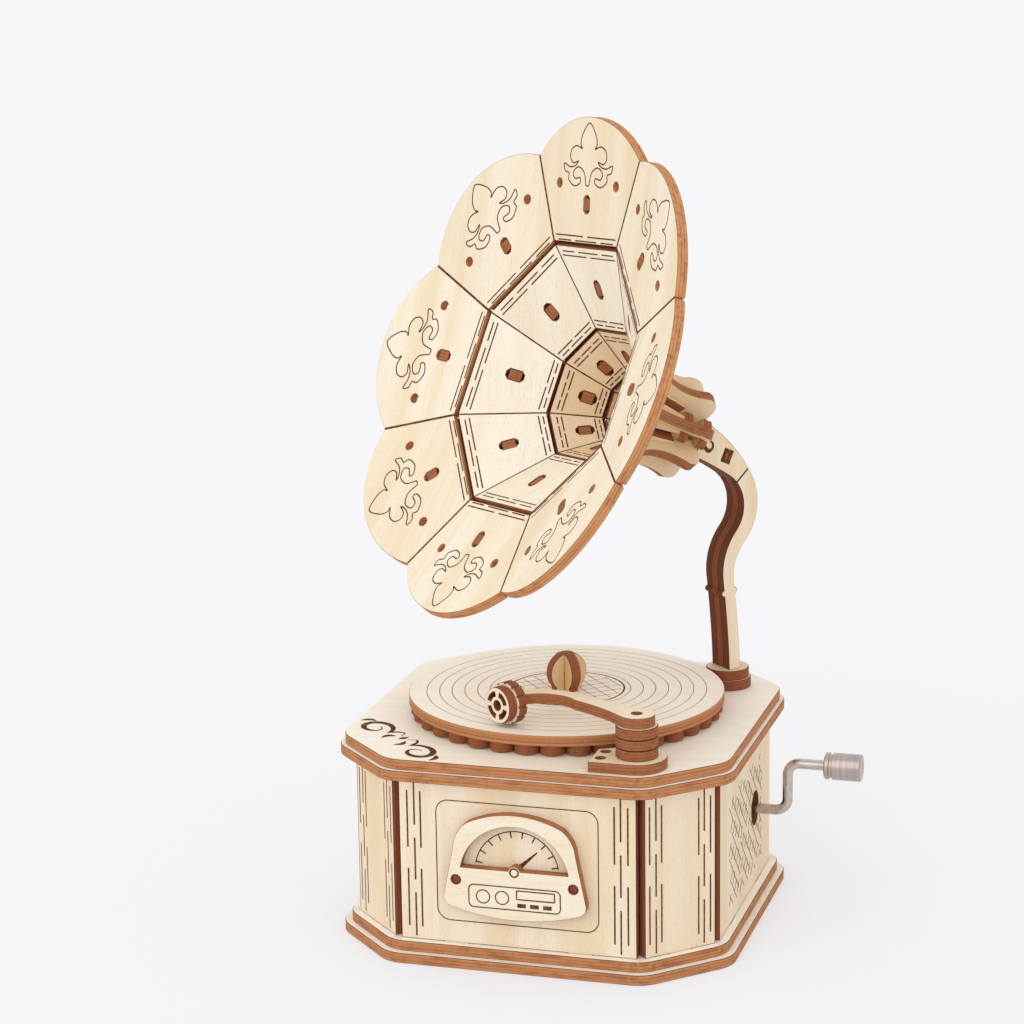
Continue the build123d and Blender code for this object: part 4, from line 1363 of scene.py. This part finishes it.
@dataclass
class Tonearm:
    """Base, column of three rings, curved arm and sound box."""

    pivot: Pair = (27.2, -38.4)
    column_radius: float = 4.9
    column_bottom: float = 52.2
    rings: int = 3
    bevel: float = 0.18

    def ring(self, level: int) -> Shape:
        """One ring of the column, turned about its own axis with softened rims.

        Args:
            level: Rings under it.

        Returns:
            The closed ring.
        """
        low = self.column_bottom + level * PLY
        high, rim, soft = low + PLY, self.column_radius, self.bevel
        profile = [(0.0, high), (rim - soft, high), (rim, high - soft),
                   (rim, low + soft), (rim - soft, low), (0.0, low)]
        shape = turned(profile, 72)
        return Shape(shape.points + np.array([*self.pivot, 0.0]), shape.faces)

    def build(self, finishes: Finishes) -> None:
        """Make the base, column, arm and sound box.

        Args:
            finishes: The materials.
        """
        lengthwise = (1.0, 0.1, 0.0)
        planks(("tonearm_base",), Body.CASE, finishes, Cut(0.7, 0.9, grain=lengthwise))
        wooden("tonearm_base_dowels", "tonearm_base_pegs", Body.CASE, finishes, Cut(0.9, 1.0, face=0.95), 0.12)
        for level in range(self.rings):
            ring = add_piece(f"column_ring_{level + 1}", self.ring(level), Body.CASE, finishes.plywood,
                             ["tonearm_column_rings"] if level == 0 else [])
            mark_wood(ring, Cut(0.75, 1.0, grain=(1.0, 0.2 * level, 0.0)))
        wooden("pivot_dowel", "tonearm_pivot_peg", Body.CASE, finishes, Cut(0.9, 1.0, face=0.95), 0.12)
        wooden("arm_wood", "tonearm_arm", Body.TONEARM, finishes, Cut(0.7, 0.9, grain=lengthwise))
        wooden("sound_box_front_wood", "sound_box_front_disc", Body.TONEARM, finishes, Cut(0.85, 1.0))
        wooden("sound_box_rear_wood", "sound_box_rear_disc", Body.TONEARM, finishes, Cut(0.85, 1.0))


@dataclass
class Horn:
    """Eight-sided flare of flat panels on ribs, about a tilted axis, on a curved post."""

    foot: Pair = (33.45, 29.09)
    heading: float = -133.24
    tilt: float = 24.12
    axis_height: float = 110.32
    reach: float = 57.3
    roll: float = 3.52
    sides: int = 8
    rings: tuple[Pair, ...] = ((55.66, 6.56), (34.61, 0.0), (16.81, -14.5), (8.81, -25.56), (6.2, -36.0))
    outer_spans: tuple[Pair, ...] = ((0.03, 0.46), (0.53, 0.97))
    inner_spans: tuple[Pair, ...] = ((0.06, 0.27), (0.34, 0.68), (0.75, 0.95))
    dashed_rings: int = 3
    near_insets: Pair = (1.0, 2.1)
    far_insets: Pair = (1.9, 3.0)
    inner_shift: float = 0.35
    dash_width: float = 0.34
    dash_inset: float = 0.5
    lily: tuple[Pair, ...] = (
        (2.8, 25.9), (3.45, 23.6), (2.7, 22.6), (5.1, 23.2), (7.2, 22.3), (7.7, 20.4), (6.4, 19.2), (4.2, 19.6),
        (5.6, 18.5), (7.8, 18.2), (10.2, 18.95), (9.85, 17.3), (8.1, 16.7), (8.2, 15.4), (7.1, 14.4), (5.3, 13.8),
        (3.2, 14.6), (3.3, 15.8), (5.4, 15.55), (6.2, 17.0), (4.1, 18.3), (1.7, 17.2), (0.9, 15.2), (0.6, 14.1))
    lily_tip: Pair = (0.0, 28.6)
    lily_width: float = 0.32
    seam_widths: tuple[float, ...] = (0.3, 0.2, 0.2, 0.2)
    seam_start: float = 0.08
    beads: tuple[float, ...] = (0.45, 0.5, 1.0)
    rosette_plane: float = -43.85
    hook: tuple[Pair, ...] = (
        (-2.19, -1.33), (-2.94, -2.13), (-3.02, -2.99), (-2.53, -3.63), (-1.69, -3.81), (-0.83, -3.0), (-0.95, -2.45))
    hook_widths: tuple[float, ...] = (0.4, 0.6, 0.65, 0.75, 1.05, 1.0, 0.5)
    key: Pair = (-7.2, -5.8)
    key_half: Pair = (1.0, 1.35)
    key_corner: float = 0.75
    key_line: float = 0.8

    def axes(self) -> tuple[np.ndarray, np.ndarray, np.ndarray, np.ndarray]:
        """Place and directions of the horn.

        Returns:
            Middle of the ring between petals and middle panels, the axis towards the mouth, up and side.
        """
        out = np.array([cos(radians(self.heading)), sin(radians(self.heading)), 0.0])
        rise, run = sin(radians(self.tilt)), cos(radians(self.tilt))
        axis = np.array([out[0] * run, out[1] * run, rise])
        up = np.array([-out[0] * rise, -out[1] * rise, run])
        middle = np.array([*self.foot, self.axis_height]) + self.reach * axis
        return middle, axis, up, np.cross(axis, up)

    def panel_place(self, index: int, column: int) -> tuple[Place, float]:
        """Front face of one panel.

        Args:
            index: Its ring, counted from the mouth.
            column: Its place round the axis, clockwise from the top.

        Returns:
            The face, with its origin at the middle of its inner edge, and its length.
        """
        (outer, outer_z), (inner, inner_z) = self.rings[index], self.rings[index + 1]
        half = pi / self.sides
        start, rise, run = inner * cos(half), (outer - inner) * cos(half), outer_z - inner_z
        length = hypot(rise, run)
        middle, axis, up, side = self.axes()
        turn = radians(self.roll - 360 * column / self.sides)
        ray = cos(turn) * up + sin(turn) * side
        beside = np.cross(axis, ray)
        along = (rise * ray + run * axis) / length
        origin = middle + start * ray + inner_z * axis
        if np.dot(np.cross(beside, along), axis) < 0:
            beside = -beside
        return Place(tuple(origin), tuple(beside), tuple(along)), length

    def joint_lines(self, index: int) -> list[Line]:
        """Two dashed lines beside each ring joint of a panel.

        Args:
            index: Its ring, counted from the mouth.

        Returns:
            The dashes.
        """
        (outer, _), (inner, _) = self.rings[index], self.rings[index + 1]
        _, length = self.panel_place(index, 0)
        spans, shift, levels = (self.inner_spans, self.outer_spans), self.inner_shift * (index > 0), []
        if index < self.dashed_rings:
            levels += [(inset + shift, span) for inset, span in zip(self.near_insets, spans)]
        if 0 < index < self.dashed_rings:
            levels += [(length - inset, span) for inset, span in zip(self.far_insets, spans)]
        lines = []
        for v, span in levels:
            half = (inner + (outer - inner) * v / length) * sin(pi / self.sides) - self.dash_inset
            lines += dashes((-half, v), (half, v), span, self.dash_width)
        return lines

    def seam_lines(self, index: int) -> list[Line]:
        """Burnt seams along both side edges of a panel, which meet those of its neighbours.

        Args:
            index: Its ring, counted from the mouth.

        Returns:
            The two seams.
        """
        (outer, _), (inner, _) = self.rings[index], self.rings[index + 1]
        _, length = self.panel_place(index, 0)
        width, slope = self.seam_widths[index], sin(pi / self.sides)
        low, high = inner * slope - width / 2, outer * slope - width / 2
        ends = [(self.seam_start, self.seam_start / length), (length - self.seam_start, 1 - self.seam_start / length)]
        lines = []
        for side in (-1, 1):
            path = np.array([(side * (low + share * (high - low)), v) for v, share in ends])
            lines.append(Line(path, width))
        return lines

    def joint_beads(self) -> Shape:
        """Thin beads of glue where the rear edges of two rings of panels meet.

        Each is an eight-sided ring of diamond section about the horn's axis, where the rear faces cross: in the
        plane through a panel's middle these are the lines n p = n q + t, with n the panel's rear normal, q a point
        of its front and t its thickness.

        Returns:
            The beads.
        """
        middle, axis, up, side = self.axes()
        half, beads = pi / self.sides, []
        for index, size in enumerate(self.beads, 1):
            crossing = []
            for ring in (index - 1, index):
                (outer, outer_z), (inner, inner_z) = self.rings[ring], self.rings[ring + 1]
                along = np.array([(outer - inner) * cos(half), outer_z - inner_z])
                along /= np.linalg.norm(along)
                rear = np.array([along[1], -along[0]])
                crossing.append((rear, rear @ np.array([inner * cos(half), inner_z]) + PLY))
            radius, depth = np.linalg.solve([crossing[0][0], crossing[1][0]], [crossing[0][1], crossing[1][1]])
            profile = [(radius + size, depth), (radius, depth + size), (radius - size, depth), (radius, depth - size)]
            ring = turned([(r / cos(half), z) for r, z in profile], self.sides, True)
            turn = radians(self.roll + 180 / self.sides)
            x, y, z = ring.points.T
            ahead, beside = cos(turn) * x - sin(turn) * y, sin(turn) * x + cos(turn) * y
            beads.append(Shape(middle + np.outer(ahead, up) + np.outer(beside, side) + np.outer(z, axis), ring.faces))
        return join(beads)

    def cheek_lines(self) -> list[Line]:
        """Hook-shaped lock cut and the rounded slot of the key.

        Returns:
            The lines, with places counted ahead of the foot and up from the ground.
        """
        reach = self.reach + self.rosette_plane - PLY
        neck = np.array([reach * cos(radians(self.tilt)), self.axis_height + reach * sin(radians(self.tilt))])
        hook = smooth_path(self.hook, False, 5)
        widths = np.interp(np.linspace(0, 1, len(hook)), np.linspace(0, 1, len(self.hook_widths)), self.hook_widths)
        turn = radians(self.tilt)
        across, up = self.key_half
        slot = rounded_rectangle((-across, -up), (across, up), self.key_corner)
        slot = slot @ np.array([[cos(turn), sin(turn)], [-sin(turn), cos(turn)]]) + np.array(self.key)
        return [Line(hook + neck, widths), Line(slot + neck, self.key_line, True)]

    def cheek_places(self) -> list[tuple[Place, float]]:
        """Outer faces of the two cheeks.

        Returns:
            Each face, and the sign of the way ahead on it.
        """
        out = (cos(radians(self.heading)), sin(radians(self.heading)))
        places = []
        for sign in (-1, 1):
            normal = (-sign * out[1], sign * out[0])
            origin = (self.foot[0] + 1.5 * PLY * normal[0], self.foot[1] + 1.5 * PLY * normal[1], 0.0)
            places.append((Place(origin, (-sign * out[0], -sign * out[1], 0.0), (0.0, 0.0, 1.0)), -sign))
        return places

    def lily_lines(self) -> list[Line]:
        """Outline of a fleur-de-lis: one half, its mirror image and the tip.

        Returns:
            The outline.
        """
        right = np.array(self.lily)
        left = right[::-1] * np.array([-1.0, 1.0])
        outline = np.concatenate([[self.lily_tip], right, left])
        return [Line(smooth_path(outline, True, 5), self.lily_width, True)]

    def build(self, finishes: Finishes) -> None:
        """Make the post, ribs, rosettes and panels, and engrave them.

        Args:
            finishes: The materials.
        """
        petals = [f"{name}_petal" for name in (
            "top", "upper_right", "right", "lower_right", "bottom", "lower_left", "left", "upper_left")]
        post = (
            (("post_lower_foot", "post_upper_foot"), Cut(0.85, 1.0, warmth=0.3, grain=(1.0, 0.0, 0.0))),
            (("post_near_side", "post_far_side", "near_cheek", "far_cheek"), Cut(0.96, 1.0, warmth=0.22)),
            (("post_core",), Cut(0.92, 1.0)),
            (("cheek_key",), Cut(0.8, 1.0, face=0.2)))
        flare = (
            # The rosettes' strong warmth is painted shade on their shaded faces.
            (("front_rosette", "rear_rosette"), Cut(0.7, 0.95, warmth=0.8)),
            (petals, Cut(0.2, 0.5, warmth=0.02)),
            (("middle_panels",), Cut(0.75, 0.95, warmth=-0.5)),
            # The warmth of the inner and throat panels is painted shade, deepening into the horn.
            (("inner_panels",), Cut(0.75, 0.95, warmth=0.32)),
            (("throat_panels",), Cut(0.75, 0.95, warmth=0.7)))
        for nodes, cut in post:
            planks(nodes, Body.CASE, finishes, cut)
        # The ribs' warmth is painted shade on their shaded faces.
        wooden("ribs_wood", "horn_ribs", Body.CASE, finishes, Cut(0.7, 0.95, warmth=0.35))
        for nodes, cut in flare:
            planks(nodes, Body.CASE, finishes, cut)
        strips = []
        for column in range(self.sides):
            for index in range(len(self.rings) - 1):
                place, _ = self.panel_place(index, column)
                lines = self.seam_lines(index) + self.joint_lines(index) + (self.lily_lines() if index == 0 else [])
                strips.append(engraved(place, lines))
        for place, sign in self.cheek_places():
            lines = [Line(line.path * np.array([sign, 1.0]), line.width, line.closed) for line in self.cheek_lines()]
            strips.append(engraved(place, lines))
        add_piece("horn_engraving", join(strips), Body.CASE, finishes.scorch)
        add_piece("horn_joints", self.joint_beads(), Body.CASE, finishes.scorch)


# Studio


@dataclass
class Studio:
    """Camera, floor, sun and surroundings, in metres."""

    eye: Triple = (0.18651, -0.66800, 0.26569)
    azimuth: float = 16.419
    elevation: float = 13.515
    roll: float = -0.832
    lens: float = 104.86
    sensor: float = 36.0
    shift: Pair = (-0.0110, 0.0003)
    clip: Pair = (0.01, 50.0)
    floor_half: float = 4.0
    floor_colour: Colour = srgb(239, 239, 242)
    floor_glow: float = 0.5
    sky_colour: Colour = srgb(247, 247, 249)
    sky_light: float = 0.98
    sun_power: float = 0.5
    sun_way: Triple = (-0.2, -0.75, 0.63)
    sun_width: float = 60.0

    def camera(self) -> None:
        """Make the camera at the photograph's viewing angle."""
        az, el, roll = radians(self.azimuth), radians(self.elevation), radians(self.roll)
        back = Vector((sin(az) * cos(el), -cos(az) * cos(el), sin(el)))
        right = Vector((cos(az), sin(az), 0.0))
        up = back.cross(right)
        tilted_right = cos(roll) * right + sin(roll) * up
        tilted_up = cos(roll) * up - sin(roll) * right
        data = bpy.data.cameras.new("camera")
        data.lens, data.sensor_width = self.lens, self.sensor
        data.shift_x, data.shift_y = self.shift
        data.clip_start, data.clip_end = self.clip
        camera = bpy.data.objects.new("camera", data)
        turn = Matrix((tilted_right, tilted_up, back)).transposed().to_4x4()
        camera.matrix_world = Matrix.Translation(self.eye) @ turn
        bpy.context.scene.collection.objects.link(camera)
        bpy.context.scene.camera = camera

    def floor(self) -> None:
        """Make the pale floor that takes the object's shadow.

        For rays that see it, half of its colour is an even glow of the backdrop's colour, so that no horizon shows.
        """
        half = self.floor_half
        mesh = bpy.data.meshes.new("floor")
        mesh.from_pydata([(-half, -half, 0.0), (half, -half, 0.0), (half, half, 0.0), (-half, half, 0.0)], [],
                         [(0, 1, 2, 3)])
        bench = SurfaceBench("floor")
        glow = bench.math("MULTIPLY", bench.seen(), self.floor_glow)
        mesh.materials.append(bench.surface(
            Base_Color=bench.mix(glow, self.floor_colour, (0.0, 0.0, 0.0)), Roughness=1.0, Specular_IOR_Level=0.0,
            Emission_Color=self.sky_colour, Emission_Strength=glow))
        placed("floor", mesh)

    def sky(self) -> None:
        """Even surroundings, which a camera, glossy or transmission ray sees as the pale backdrop."""
        world = bpy.data.worlds.new("surroundings")
        world.use_nodes = True
        bench = NodeBench(world.node_tree)
        light = bench.add("Background", Color=(1.0, 1.0, 1.0), Strength=self.sky_light)
        backdrop = bench.add("Background", Color=self.sky_colour, Strength=1.0)
        mix = bench.add("MixShader")
        for socket, value in zip(mix.inputs, (bench.seen(), light.outputs[0], backdrop.outputs[0])):
            bench.feed(socket, value)
        bench.feed(bench.add("OutputWorld").inputs[0], mix.outputs[0])
        bpy.context.scene.world = world

    def sun(self) -> None:
        """Broad light from the upper left of the front."""
        data = bpy.data.lights.new("sun", "SUN")
        data.energy, data.angle = self.sun_power, radians(self.sun_width)
        sun = bpy.data.objects.new("sun", data)
        sun.rotation_mode = "QUATERNION"
        sun.rotation_quaternion = Vector(self.sun_way).to_track_quat("Z", "Y")
        bpy.context.scene.collection.objects.link(sun)

    def build(self) -> None:
        """Make the whole studio."""
        self.camera()
        self.floor()
        self.sky()
        self.sun()
        bpy.context.scene.view_settings.view_transform = "Standard"


def main() -> None:
    """Build the object and the studio."""
    logging.basicConfig(level=logging.INFO, format="%(name)s: %(message)s")
    finishes = Finishes()
    for part in (Case(), Movement(), Turntable(), Tonearm(), Horn()):
        log.info("building %s", type(part).__name__)
        part.build(finishes)
    Studio().build()


if __name__ == "__main__":
    main()
